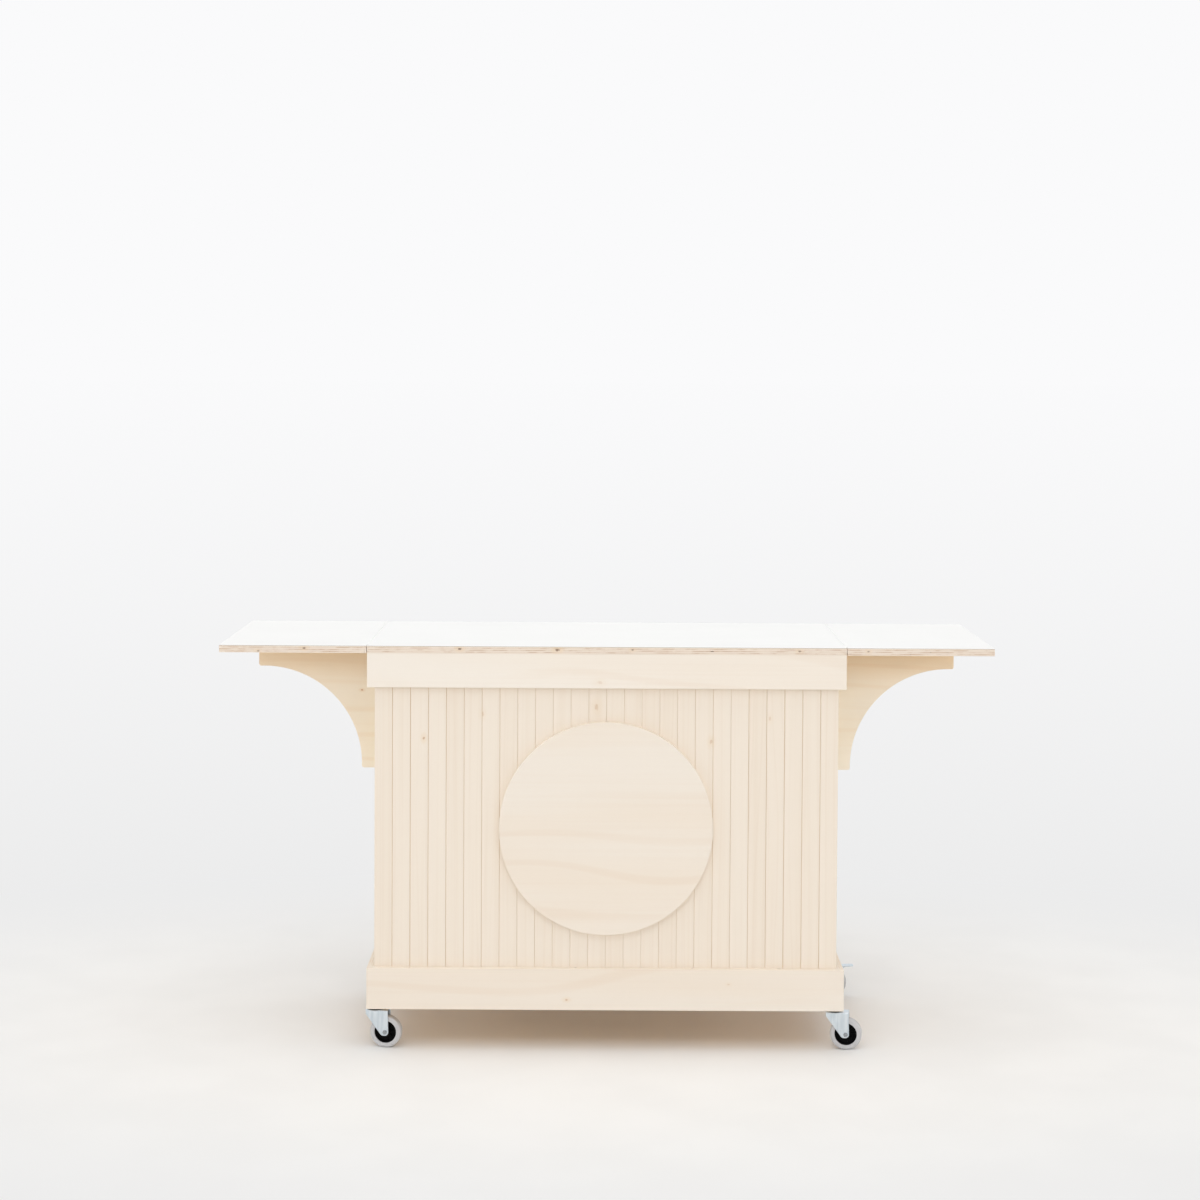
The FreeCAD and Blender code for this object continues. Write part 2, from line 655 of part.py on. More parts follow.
def make_flap(label, side, first, knuckles, own_count, length, width, bore):
    # pin axis along the body's Z; the sheet hangs from it towards -Y, on one side of the joint
    body = doc.addObject("PartDesign::Body", label)
    face = f"{side} * flap_thick"
    sheet_top = f"-{KNUCKLE_SPACE}"
    spacing = f"({length}) / {knuckles}"
    flat = new_sketch(body, f"{label}_sheet", "XY_Plane")
    draw_outline(flat, [("0", f"-{width}"), (face, f"-{width}"), (face, sheet_top), ("0", sheet_top)])
    pad(body, flat, length)
    start = f"{first} * {spacing} + knuckle_gap / 2"
    own = f"{spacing} - knuckle_gap"
    neck = new_sketch(body, f"{label}_neck", "XY_Plane", start)
    neck_top = "neck_bury - knuckle_radius"
    draw_outline(neck, [("0", sheet_top), (face, sheet_top), (face, neck_top), ("0", neck_top)])
    neck_pad = pad(body, neck, own)
    ring = new_sketch(body, f"{label}_knuckle", "XY_Plane", start)
    draw_circle(ring, "0", "0", "knuckle_radius")
    draw_circle(ring, "0", "0", bore)
    ring_pad = pad(body, ring, own)
    pattern = body.newObject("PartDesign::LinearPattern", f"{label}_knuckles")
    pattern.Originals = [neck_pad, ring_pad]
    pattern.Direction = (origin_feature(body, "Z_Axis"), [""])
    bind(pattern, {"Length": f"({own_count} - 1) * 2 * {spacing}", "Occurrences": own_count})
    body.Tip = pattern
    return body


def make_hinge(name, side, knuckles, length, width, spot, turn_up):
    # the fixed flap lies inwards of the joint's middle, the moving flap outwards
    axis = (1, 0, 0) if turn_up else (0, 0, 1)
    angle = 90 if turn_up else 0
    bore = "pin_radius + pin_clear"
    for kind, facing, first, own_count in (("fixed", -side, 0, f"floor(({knuckles} + 1) / 2)"),
                                           ("moving", side, 1, f"floor({knuckles} / 2)")):
        label = f"{name}_{kind}_flap"
        flap = make_flap(label, facing, first, knuckles, own_count, length, width, bore)
        keep(place(turned(flap, axis, angle), *spot), label)
    return cylinder(f"{name}_pin", "pin_radius", length, spot, axis, angle)


LEAF_HINGE_LENGTH = "(top_depth - 2 * hinge_margin)"
CLEAT_HEIGHT = f"({UNDER_BAND} - {UNDER_TOP} + bracket_drop)"
BRACKET_HINGE_LENGTH = f"({CLEAT_HEIGHT} - 2 * hinge_margin)"
leaf_pins = []
bracket_pins = []
for hand, side in (("left", -1), ("right", 1)):
    make_bracket(hand, side)
    keep(box(f"{hand}_bracket_cleat", (outward(side, BODY_END, "board_thick"),
                                       f"{BRACKET_BACK} - cleat_width", f"{UNDER_TOP} - bracket_drop"),
             ("board_thick", "cleat_width", CLEAT_HEIGHT)), f"{hand}_bracket_cleat")
    middle = f"{side} * ({HALF_WIDTH} + flap_thick)"
    leaf_pins.append(make_hinge(
        f"{hand}_leaf_hinge", side, "leaf_knuckles", LEAF_HINGE_LENGTH, "leaf_flap_width",
        (middle, f"{HALF_DEPTH} - hinge_margin", "cart_height + hinge_lift"), True))
    bracket_pins.append(make_hinge(
        f"{hand}_bracket_hinge", side, "bracket_knuckles", BRACKET_HINGE_LENGTH, "bracket_flap_width",
        (middle, f"{BRACKET_BACK} + {KNUCKLE_SPACE}", f"{UNDER_TOP} - bracket_drop + hinge_margin"), False))
keep(group("leaf_hinge_pins", leaf_pins), "leaf_hinge_pins")
keep(group("bracket_hinge_pins", bracket_pins), "bracket_hinge_pins")

doc.recompute()
failed = [obj.Label for obj in doc.Objects if "Invalid" in obj.State or "Error" in obj.State]
for obj in parts:
    if obj.Shape.isNull() or not obj.Shape.isValid() or not obj.Shape.Solids:
        failed.append(obj.Label)
if failed:
    raise SystemExit("these did not build: " + ", ".join(failed))

os.makedirs("parts", exist_ok=True)
for obj in parts:
    obj.Shape.exportStep(f"parts/{obj.Label}.step")
print(len(parts), "pieces,", sum(len(obj.Shape.Solids) for obj in parts), "solids")
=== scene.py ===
import json
from math import atan2, copysign, cos, degrees, pi, radians, sin, sqrt, tan, tau

import bmesh
import bpy
import numpy as np
from mathutils import Matrix, Vector


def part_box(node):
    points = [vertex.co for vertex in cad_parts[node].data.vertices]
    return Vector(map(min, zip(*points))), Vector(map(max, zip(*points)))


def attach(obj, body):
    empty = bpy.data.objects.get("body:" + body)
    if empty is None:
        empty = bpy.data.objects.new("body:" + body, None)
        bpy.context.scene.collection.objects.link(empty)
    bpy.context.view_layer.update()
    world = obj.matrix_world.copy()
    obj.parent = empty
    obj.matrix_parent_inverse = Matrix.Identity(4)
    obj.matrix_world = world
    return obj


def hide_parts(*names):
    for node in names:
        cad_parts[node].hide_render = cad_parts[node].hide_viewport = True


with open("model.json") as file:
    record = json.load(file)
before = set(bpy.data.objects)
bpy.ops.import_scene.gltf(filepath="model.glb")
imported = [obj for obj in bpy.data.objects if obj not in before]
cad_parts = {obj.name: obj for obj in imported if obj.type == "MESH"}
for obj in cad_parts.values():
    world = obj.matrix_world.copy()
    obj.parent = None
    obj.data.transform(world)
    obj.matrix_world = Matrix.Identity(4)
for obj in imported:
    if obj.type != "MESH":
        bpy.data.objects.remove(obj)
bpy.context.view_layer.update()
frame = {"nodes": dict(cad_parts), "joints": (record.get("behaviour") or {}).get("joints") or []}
cadNodes = frame["nodes"]
joints = {joint["name"]: joint for joint in frame["joints"]}
scene = bpy.context.scene


def addObject(name, data):
    item = bpy.data.objects.new(name, data)
    scene.collection.objects.link(item)
    return item


def setAll(item, **settings):
    for name, value in settings.items():
        setattr(item, name, value)


def turned(angle, axis):
    return Matrix.Rotation(radians(angle), 4, axis)


# camera, at the place the photograph was taken from

cameraView = {
    "place": (-0.0268, -6.3969, 1.7141),
    "lookDown": 2.03,       # degrees
    "lookRight": 0.063,
    "roll": 0.312,
    "sensor": 36,           # mm
    "lens": 73.41,
    "shiftUp": -0.12,
    "seesTo": 800,          # metres
}

cameraData = bpy.data.cameras.new("photoCamera")
setAll(cameraData, sensor_width=cameraView["sensor"], lens=cameraView["lens"],
       shift_y=cameraView["shiftUp"], clip_end=cameraView["seesTo"])
camera = addObject("photoCamera", cameraData)
camera.matrix_world = (
    Matrix.Translation(cameraView["place"]) @ turned(-cameraView["lookRight"], "Z")
    @ turned(90 - cameraView["lookDown"], "X") @ turned(cameraView["roll"], "Z"))
scene.camera = camera
print("camera set")


# small helpers for node trees

def tint(*levels):
    # a screen colour, 0 to 255, as scene linear
    shares = [level / 255 for level in levels]
    return (*(s / 12.92 if s <= 0.04045 else ((s + 0.055) / 1.055) ** 2.4 for s in shares), 1.0)


def setInputs(tree, sockets, values):
    for key, value in values.items():
        if isinstance(value, bpy.types.NodeSocket):
            tree.links.new(value, sockets[key])
        else:
            sockets[key].default_value = value


def addNode(tree, kind, inputs=None, **settings):
    # gives the new node's outputs
    node = tree.nodes.new(kind)
    setAll(node, **settings)
    setInputs(tree, node.inputs, inputs or {})
    return node.outputs


def calc(tree, operation, *values):
    return addNode(tree, "ShaderNodeMath", dict(enumerate(values)), operation=operation)[0]


def times(tree, first, second):
    return calc(tree, "MULTIPLY", first, second)


def vectorCalc(tree, operation, *values):
    return addNode(tree, "ShaderNodeVectorMath", dict(enumerate(values)), operation=operation)


def stretch(tree, vector, scale):
    return vectorCalc(tree, "MULTIPLY", vector, scale)[0]


def split(tree, vector):
    return addNode(tree, "ShaderNodeSeparateXYZ", {0: vector})


def vectorOf(tree, **parts):
    return addNode(tree, "ShaderNodeCombineXYZ", parts)[0]


def noise(tree, vector, detail=2, scale=1.0):
    return addNode(tree, "ShaderNodeTexNoise", {"Vector": vector, "Scale": scale, "Detail": detail})["Fac"]


def ramp(tree, value, start, end, low=0.0, high=1.0):
    # eases from low to high while the value goes from start to end
    return addNode(tree, "ShaderNodeMapRange", {"Value": value, 1: start, 2: end, 3: low, 4: high},
                   interpolation_type="SMOOTHSTEP")[0]


def mixColour(tree, factor, first, second, blend="MIX"):
    return addNode(tree, "ShaderNodeMix", {0: factor, 6: first, 7: second},
                   data_type="RGBA", blend_type=blend)[2]


def mixValue(tree, factor, first, second):
    return addNode(tree, "ShaderNodeMix", {0: factor, 2: first, 3: second}, data_type="FLOAT")[0]


def attribute(tree, name, output="Fac"):
    return addNode(tree, "ShaderNodeAttribute", attribute_name=name)[output]


def objectSpace(tree):
    return addNode(tree, "ShaderNodeTexCoord")["Object"]


def newTree(name, inputs, outputs, kind="ShaderNodeTree"):
    # sockets are listed by their type; keys are their identifiers
    tree = bpy.data.node_groups.new(name, kind)
    keys = {}
    for way, sockets in (("OUTPUT", outputs), ("INPUT", inputs)):
        for socket, labels in sockets.items():
            for label in labels.split():
                made = tree.interface.new_socket(label, in_out=way, socket_type="NodeSocket" + socket)
                keys[label] = made.identifier
    given = tree.nodes.new("NodeGroupInput").outputs
    result = tree.nodes.new("NodeGroupOutput").inputs
    return tree, given, result, keys


def useGroup(tree, group, **inputs):
    return addNode(tree, "ShaderNodeGroup", inputs, node_tree=group)


def newMaterial(name):
    material = bpy.data.materials.new(name)
    material.use_nodes = True
    tree = material.node_tree
    return material, tree, tree.nodes["Principled BSDF"]


def setSurface(tree, surface, colour, blur, shine, relief, bump, depth):
    raised = addNode(tree, "ShaderNodeBump", {"Height": relief, "Strength": bump, "Distance": depth})
    setInputs(tree, surface.inputs, {"Base Color": colour, "Roughness": blur, "Specular IOR Level": shine,
                                     "Normal": raised["Normal"]})


# shared finishes: veneer figure, ply layers, pin knots and a fine mottle

veneerMaking = {
    "noise": {              # stretch along the grain, across it and through the board, then detail
        "cloud": ((0.8, 6.0, 6.0), 2), "bend": ((0.9, 2.6, 2.6), 1), "streak": ((1.1, 90.0, 90.0), 3),
        "fibre": ((14.0, 700.0, 700.0), 2), "pore": ((70.0, 1700.0, 1700.0), 1)},
    "bendTurns": 4.0, "line": (0.7, 1.0), "lineFade": (0.3, 0.62), "warmth": (0.34, 0.66),
    "streak": (0.46, 0.72), "pore": (0.66, 0.74), "poreShare": 0.5, "fibreShare": 0.5, "grain": 0.16,
}


def buildVeneerFigure():
    # Space runs along the grain, across it and through the board, in metres
    tree, given, result, _ = newTree(
        "veneerFigure",
        {"Vector": "Space", "Float": "Bands Figure Streak", "Color": "Light Warm Dark"},
        {"Color": "Colour", "Float": "Relief"})
    making, space = veneerMaking, given["Space"]
    field = {name: noise(tree, stretch(tree, space, scale), detail)
             for name, (scale, detail) in making["noise"].items()}
    turns = calc(tree, "MULTIPLY_ADD", split(tree, space)["Y"], given["Bands"],
                 times(tree, field["bend"], making["bendTurns"]))
    wave = calc(tree, "SINE", times(tree, turns, tau))
    lines = times(tree, ramp(tree, wave, *making["line"]), given["Figure"])
    lines = times(tree, lines, ramp(tree, field["cloud"], *making["lineFade"]))
    streaks = times(tree, ramp(tree, field["streak"], *making["streak"]), given["Streak"])
    pores = ramp(tree, field["pore"], *making["pore"])
    grain = calc(tree, "MULTIPLY_ADD", pores, making["poreShare"],
                 times(tree, field["fibre"], making["fibreShare"]))
    colour = mixColour(tree, ramp(tree, field["cloud"], *making["warmth"]), given["Light"], given["Warm"])
    for share in (lines, streaks, times(tree, grain, making["grain"])):
        colour = mixColour(tree, share, colour, given["Dark"])
    setInputs(tree, result, {"Colour": colour, "Relief": calc(tree, "SUBTRACT", field["fibre"], pores)})
    return tree


plyMaking = {
    "waver": (7.0, 7.0, 90.0), "waverShare": 0.5, "patch": (26.0, 26.0, 60.0),
    "endGrain": (900.0, 900.0, 900.0), "glueEdge": 0.1, "glue": (0.35, 0.6, 0.2, 0.8),
    "void": (0.68, 0.71), "voidReach": (0.45, 0.3), "voidTone": tint(92, 62, 42),
    "tone": (0.42, 0.66, 0.25, 1.0), "grainTone": 0.2, "grainRelief": 0.4, "voidRelief": 2.0,
    "evenStart": 100.0,     # keeps the layer count above zero
}


def buildPlyLayers():
    # Level counts the layers through the board's thickness
    tree, given, result, _ = newTree(
        "plyLayers", {"Vector": "Space", "Float": "Level", "Color": "Light Dark Glue"},
        {"Color": "Colour", "Float": "Relief"})
    making, space = plyMaking, given["Space"]
    waver = noise(tree, stretch(tree, space, making["waver"]), 1)
    level = calc(tree, "ADD", given["Level"], calc(
        tree, "MULTIPLY_ADD", waver, making["waverShare"], -making["waverShare"] / 2))
    layer, inLayer = calc(tree, "FLOOR", level), calc(tree, "FRACT", level)
    cross = calc(tree, "MODULO", calc(tree, "ADD", layer, making["evenStart"]), 2.0)
    ownSpace = vectorCalc(tree, "ADD", stretch(tree, space, making["patch"]), vectorOf(tree, Z=layer))[0]
    patches = noise(tree, ownSpace, 3)
    endGrain = noise(tree, stretch(tree, space, making["endGrain"]))
    edge = making["glueEdge"]
    glueLine = calc(tree, "MAXIMUM", ramp(tree, inLayer, edge, 0.0), ramp(tree, inLayer, 1.0 - edge, 1.0))
    glueLine = times(tree, glueLine, ramp(tree, patches, *making["glue"]))
    fromMiddle = calc(tree, "ABSOLUTE", calc(tree, "SUBTRACT", inLayer, 0.5))
    voids = times(tree, ramp(tree, patches, *making["void"]), cross)
    voids = times(tree, voids, ramp(tree, fromMiddle, *making["voidReach"]))
    tone = calc(tree, "MULTIPLY_ADD", cross, ramp(tree, patches, *making["tone"]),
                times(tree, endGrain, making["grainTone"]))
    colour = mixColour(tree, tone, given["Light"], given["Dark"])
    colour = mixColour(tree, glueLine, colour, given["Glue"])
    colour = mixColour(tree, voids, colour, making["voidTone"])
    sunk = calc(tree, "ADD", times(tree, voids, making["voidRelief"]), glueLine)
    relief = calc(tree, "SUBTRACT", times(tree, endGrain, making["grainRelief"]), sunk)
    setInputs(tree, result, {"Colour": colour, "Relief": relief})
    return tree


knotMaking = {
    "rough": (260.0, 260.0, 260.0), "roughShare": 1.2, "heart": (1.0, 0.35), "halo": (3.4, 0.8),
    "heartShare": 0.8, "haloShare": 0.4, "haloTone": tint(233, 207, 172),
}


def buildPinKnot():
    tree, given, result, _ = newTree(
        "pinKnot", {"Vector": "Space Place Squeeze", "Float": "Size"}, {"Float": "Heart Halo"})
    apart = vectorCalc(tree, "SUBTRACT", given["Space"], given["Place"])[0]
    away = vectorCalc(tree, "LENGTH", stretch(tree, apart, given["Squeeze"]))["Value"]
    rough = noise(tree, stretch(tree, given["Space"], knotMaking["rough"]))
    share = calc(tree, "ADD", calc(tree, "DIVIDE", away, given["Size"]), calc(
        tree, "MULTIPLY_ADD", rough, knotMaking["roughShare"], -knotMaking["roughShare"] / 2))
    setInputs(tree, result, {"Heart": ramp(tree, share, *knotMaking["heart"]),
                             "Halo": ramp(tree, share, *knotMaking["halo"])})
    return tree


patchRange = (0.3, 0.7)     # noise levels between which one tone turns into the other


def buildFineMottle():
    tree, given, result, _ = newTree(
        "fineMottle", {"Vector": "Space", "Float": "Coarse Fine"}, {"Float": "Patch Grit"})
    patch = noise(tree, given["Space"], 3, given["Coarse"])
    setInputs(tree, result, {"Patch": ramp(tree, patch, *patchRange),
                             "Grit": noise(tree, given["Space"], 2, given["Fine"])})
    return tree


veneerFigure = buildVeneerFigure()
plyLayers = buildPlyLayers()
pinKnot = buildPinKnot()
fineMottle = buildFineMottle()


def addKnots(tree, colour, look, squeeze):
    space = objectSpace(tree)
    for place, size, depth in look["knots"]:
        knot = useGroup(tree, pinKnot, Space=space, Place=place, Squeeze=squeeze, Size=size)
        halo = times(tree, knot["Halo"], knotMaking["haloShare"] * depth)
        heart = times(tree, knot["Heart"], knotMaking["heartShare"] * depth)
        colour = mixColour(tree, halo, colour, knotMaking["haloTone"])
        colour = mixColour(tree, heart, colour, look["heart"])
    return colour


# wood finishes: clear matt lacquer on pale ply and on the front's solid boards

lacquer = {"relief": (-0.6, 0.8), "blur": (0.62, 0.5), "shine": 0.3, "bump": 0.25, "depth": 0.0002}

# a knot: place, size, strength
paleVeneer = {
    "bands": 9.0, "figure": 0.17, "streak": 0.06,
    "light": tint(242, 233, 221), "warm": tint(241, 229, 214), "dark": tint(227, 202, 177),
    "plyLight": tint(246, 237, 224), "plyDark": tint(238, 222, 203), "glue": tint(224, 203, 178),
    "heart": tint(196, 156, 112),
    "knots": [((-0.017, -0.3, 0.931), 0.005, 0.25), ((-0.0965, -0.3, 0.130), 0.003, 0.7),
              ((0.31, -0.3, 0.171), 0.0025, 0.3)],
}
# painted light: the bands' veneer has less figure, and its lighter tone stands in for the light the bands
# catch from above
paintedLitBandVeneer = {**paleVeneer, "figure": 0.12, "light": tint(245, 237, 226), "warm": tint(244, 234, 221)}
topVeneer = {               # seen from below; its sawn edge shows a few dark specks
    "bands": 14.0, "figure": 0.3, "streak": 0.2,
    "light": tint(232, 209, 178), "warm": tint(225, 198, 163), "dark": tint(202, 170, 134),
    "plyLight": tint(243, 231, 217), "plyDark": tint(213, 187, 163), "glue": tint(184, 154, 130),
    "heart": tint(118, 84, 62),
    "knots": [((-0.872, -0.3, 1.006), 0.0028, 0.7), ((-0.757, -0.3, 1.0135), 0.0034, 0.9),
              ((-0.368, -0.3, 1.0135), 0.0036, 1.0), ((-0.124, -0.3, 1.012), 0.0042, 1.0),
              ((0.064, -0.3, 1.0135), 0.0028, 0.8), ((0.482, -0.3, 1.012), 0.003, 0.8),
              ((0.654, -0.3, 1.012), 0.0028, 0.7)],
}
deckVeneer = {
    **topVeneer, "light": tint(236, 202, 155), "warm": tint(230, 192, 142), "dark": tint(206, 162, 112),
    "knots": [], "upper": paleVeneer,       # upper is the face inside the cabinet
}
tanVeneer = {
    "bands": 20.0, "figure": 0.25, "streak": 0.08,
    "light": tint(254, 246, 230), "warm": tint(253, 242, 222), "dark": tint(240, 214, 180),
    "plyLight": tint(240, 226, 205), "plyDark": tint(212, 187, 158), "glue": tint(180, 150, 122),
    "heart": tint(190, 140, 88),
    "knots": [((-0.6378, -0.029, 0.8735), 0.0022, 1.0), ((0.7, -0.011, 0.93), 0.0022, 0.7)],
    "ripe": (0.86, 0.99), "ripeTone": tint(251, 238, 221),   # painted shade under the leaves and worktop: warmer and darker towards the top edge
}
frontBoardLook = {          # inner is painted shade on the faces inside the joints, short of the two outer edges
    "bands": 45.0, "figure": 0.1, "streak": 0.11, "boardTone": 0.04, "boardApart": 31.0,
    "light": tint(243, 232, 218), "warm": tint(242, 230, 215), "dark": tint(224, 203, 178),
    "inner": tint(222, 190, 146), "innerFrom": (-0.2813, -0.2804), "outerEdge": (0.581, 0.5815),
    "heart": tint(196, 154, 108),
    "knots": [((-0.4586, -0.282, 0.786), 0.0036, 0.8), ((-0.311, -0.282, 0.848), 0.004, 0.35),
              ((-0.0255, -0.282, 0.867), 0.0065, 0.45), ((0.263, -0.282, 0.781), 0.0045, 0.5),
              ((0.410, -0.282, 0.840), 0.004, 0.3)],
}


def useVeneer(tree, space, look):
    values = {label: look[label.lower()] for label in ("Bands", "Figure", "Streak", "Light", "Warm", "Dark")}
    return useGroup(tree, veneerFigure, Space=space, **values)


def lacquerWood(tree, surface, colour, relief):
    blur = ramp(tree, relief, *lacquer["relief"], *lacquer["blur"])
    setSurface(tree, surface, colour, blur, lacquer["shine"], relief, lacquer["bump"], lacquer["depth"])


def makeBoardMaterial(name, look):
    material, tree, surface = newMaterial(name)
    space = attribute(tree, "boardSpace", "Vector")
    sawn = attribute(tree, "sawnEdge")
    veneer = useVeneer(tree, space, look)
    ply = useGroup(tree, plyLayers, Space=space, Level=attribute(tree, "plyLevel"),
                   Light=look["plyLight"], Dark=look["plyDark"], Glue=look["glue"])
    colour = veneer["Colour"]
    if "upper" in look:
        upper = useVeneer(tree, space, look["upper"])
        colour = mixColour(tree, attribute(tree, "facesUp"), colour, upper["Colour"])
    colour = mixColour(tree, sawn, colour, ply["Colour"])
    # painted shade: the board darkens by height towards its top edge, under the leaves and worktop
    if "ripe" in look:
        height = split(tree, objectSpace(tree))["Z"]
        colour = mixColour(tree, ramp(tree, height, *look["ripe"]), colour, look["ripeTone"], "MULTIPLY")
    colour = addKnots(tree, colour, look, squeeze=(0.6, 1.0, 1.0))
    lacquerWood(tree, surface, colour, mixValue(tree, sawn, veneer["Relief"], ply["Relief"]))
    return material


def makeFrontBoardMaterial(name, look):
    material, tree, surface = newMaterial(name)
    seed = attribute(tree, "boardSeed")
    flat = split(tree, objectSpace(tree))
    onward = times(tree, seed, look["boardApart"])
    space = vectorOf(tree, X=calc(tree, "ADD", flat["Z"], onward), Y=calc(tree, "ADD", flat["X"], onward),
                     Z=flat["Y"])
    veneer = useVeneer(tree, space, look)
    boardTone = ramp(tree, seed, 0.0, 1.0, 0.0, look["boardTone"])
    colour = mixColour(tree, boardTone, veneer["Colour"], look["dark"])
    colour = addKnots(tree, colour, look, squeeze=(1.0, 1.0, 0.6))
    # painted shade: faces set back inside the joints take the darker inner tone
    between = ramp(tree, calc(tree, "ABSOLUTE", flat["X"]), *look["outerEdge"], 1.0, 0.0)
    inside = times(tree, between, ramp(tree, flat["Y"], *look["innerFrom"]))
    lacquerWood(tree, surface, mixColour(tree, inside, colour, look["inner"]), veneer["Relief"])
    return material


woods = {name: makeBoardMaterial(name, look) for name, look in (
    ("paleBoardWood", paleVeneer), ("bandBoardWood", paintedLitBandVeneer), ("topBoardWood", topVeneer),
    ("deckBoardWood", deckVeneer), ("tanBoardWood", tanVeneer))}
woods["frontBoardWood"] = makeFrontBoardMaterial("frontBoardWood", frontBoardLook)


# other finishes

def makeMottledMaterial(name, base, other, coarse, fine, blur, bump, depth=0.0001,
                        metal=0.0, shine=0.5, drawn=(1.0, 1.0, 1.0), sawn=None):
    material, tree, surface = newMaterial(name)
    space = stretch(tree, objectSpace(tree), drawn)
    mottle = useGroup(tree, fineMottle, Space=space, Coarse=coarse, Fine=fine)
    colour = mixColour(tree, mottle["Patch"], base, other)
    if sawn:
        colour = mixColour(tree, attribute(tree, "sawnEdge"), colour, sawn)
    surface.inputs["Metallic"].default_value = metal
    grit = mottle["Grit"]
    setSurface(tree, surface, colour, mixValue(tree, grit, *blur), shine, grit, bump, depth)
    return material


finishes = {
    "whiteLaminate": {"base": tint(250, 250, 248), "other": tint(248, 248, 246), "sawn": tint(168, 148, 130),
                      "coarse": 6.0, "fine": 1500.0, "blur": (0.3, 0.46), "bump": 0.1},
    "hingeEnamel": {"base": tint(252, 252, 250), "other": tint(249, 249, 247),
                    "coarse": 40.0, "fine": 900.0, "blur": (0.3, 0.45), "bump": 0.12},
    "zincPlate": {"base": tint(222, 230, 236), "other": tint(203, 214, 222), "metal": 1.0,
                  "drawn": (1.0, 1.0, 0.12), "coarse": 130.0, "fine": 1400.0,
                  "blur": (0.24, 0.46), "bump": 0.15},
    "axleSteel": {"base": tint(172, 177, 181), "other": tint(140, 145, 149), "metal": 1.0,
                  "coarse": 300.0, "fine": 1800.0, "blur": (0.3, 0.5), "bump": 0.12},
    "brightSteel": {"base": tint(205, 208, 211), "other": tint(190, 194, 198), "metal": 1.0,
                    "coarse": 160.0, "fine": 1800.0, "blur": (0.22, 0.42), "bump": 0.12},
    "greyRubber": {"base": tint(202, 201, 202), "other": tint(197, 196, 197), "shine": 0.3,
                   "coarse": 60.0, "fine": 1200.0, "blur": (0.6, 0.85), "bump": 0.3, "depth": 0.0002},
    # painted shade: the castor stems are near black so the gap above each fork shows as a dark shadow line
    "blackSteel": {"base": tint(26, 26, 28), "other": tint(36, 36, 38), "shine": 0.3,
                   "coarse": 80.0, "fine": 1400.0, "blur": (0.4, 0.6), "bump": 0.15},
    "blackCore": {"base": tint(3, 3, 4), "other": tint(7, 7, 8), "shine": 0.08,
                  "coarse": 70.0, "fine": 1500.0, "blur": (0.4, 0.6), "bump": 0.2},
}
materials = {name: makeMottledMaterial(name, **look) for name, look in finishes.items()}
print("finishes made:", len(materials) + len(woods))


# mesh helpers: every mesh is made in place, in metres

tiny = 1e-6
meshMaking = {"sharpAngle": 40, "bevelSteps": 2}


def toMesh(bm, name):
    mesh = bpy.data.meshes.new(name)
    bm.to_mesh(mesh)
    bm.free()
    return mesh


def shadeMesh(mesh, sharpAngle=meshMaking["sharpAngle"]):
    # smooth, with the edges past the sharp angle kept crisp
    mesh.shade_smooth()
    mesh.set_sharp_from_angle(angle=radians(sharpAngle))
    return mesh


def settle(holder, name):
    # a holder's modifiers become a plain mesh
    depsgraph = bpy.context.evaluated_depsgraph_get()
    mesh = bpy.data.meshes.new_from_object(holder.evaluated_get(depsgraph))
    mesh.name = name
    old = holder.data
    bpy.data.objects.remove(holder)
    if old.users == 0:
        bpy.data.meshes.remove(old)
    return mesh


def finishMesh(bm, name, bevel=0.0, sharpAngle=meshMaking["sharpAngle"]):
    # rounds the sharp edges and shades the flats flat
    bmesh.ops.remove_doubles(bm, verts=bm.verts, dist=tiny)
    bmesh.ops.recalc_face_normals(bm, faces=bm.faces)
    if bevel:
        limit = radians(sharpAngle)
        edges = [e for e in bm.edges if len(e.link_faces) == 2 and e.calc_face_angle(0) > limit]
        bmesh.ops.bevel(bm, geom=edges, offset=bevel, offset_type="OFFSET", profile=0.5, affect="EDGES",
                        segments=meshMaking["bevelSteps"], clamp_overlap=True)
    holder = addObject(name + "Holder", shadeMesh(toMesh(bm, name), sharpAngle))
    holder.modifiers.new("evenNormals", "WEIGHTED_NORMAL").keep_sharp = True
    return settle(holder, name)


def joinMeshes(name, meshes):
    bm = bmesh.new()
    for mesh in meshes:
        bm.from_mesh(mesh)
    return shadeMesh(toMesh(bm, name))


def addPiece(name, mesh, material, body, slotName, *stoodFor):
    if material is not None:
        mesh.materials.clear()
        mesh.materials.append(material)
    piece = addObject(name, mesh)
    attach(piece, body)
    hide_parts(*stoodFor)


def pieceName(node):
    first, *rest = node.split("_")
    return first + "".join(word.capitalize() for word in rest)


# where a flat (u, v) and a depth lie in space

def alongY(u, v, depth):
    return u, depth, v


def upright(u, v, depth):
    return u, v, depth


def boxShape(low, high):
    bm = bmesh.new()
    middle = (Vector(low) + Vector(high)) / 2
    size = Vector(high) - Vector(low)
    bmesh.ops.create_cube(bm, size=1, matrix=Matrix.Translation(middle) @ Matrix.Diagonal((*size, 1)))
    return bm


def bridge(bm, first, second):
    # faces between two rings; a ring of one point is a pole
    steps = max(len(first), len(second))
    for k in range(steps):
        after = (k + 1) % steps
        corners = (first[k % len(first)], first[after % len(first)],
                   second[after % len(second)], second[k % len(second)])
        unique = list(dict.fromkeys(corners))
        if len(unique) > 2:
            bm.faces.new(unique)


def extrudeShape(outline, start, end, toSpace):
    # a flat outline drawn out from start to end
    bm = bmesh.new()
    first, last = [[bm.verts.new(toSpace(u, v, depth)) for u, v in outline] for depth in (start, end)]
    bm.faces.new(first[::-1])
    bm.faces.new(last)
    bridge(bm, first, last)
    return bm


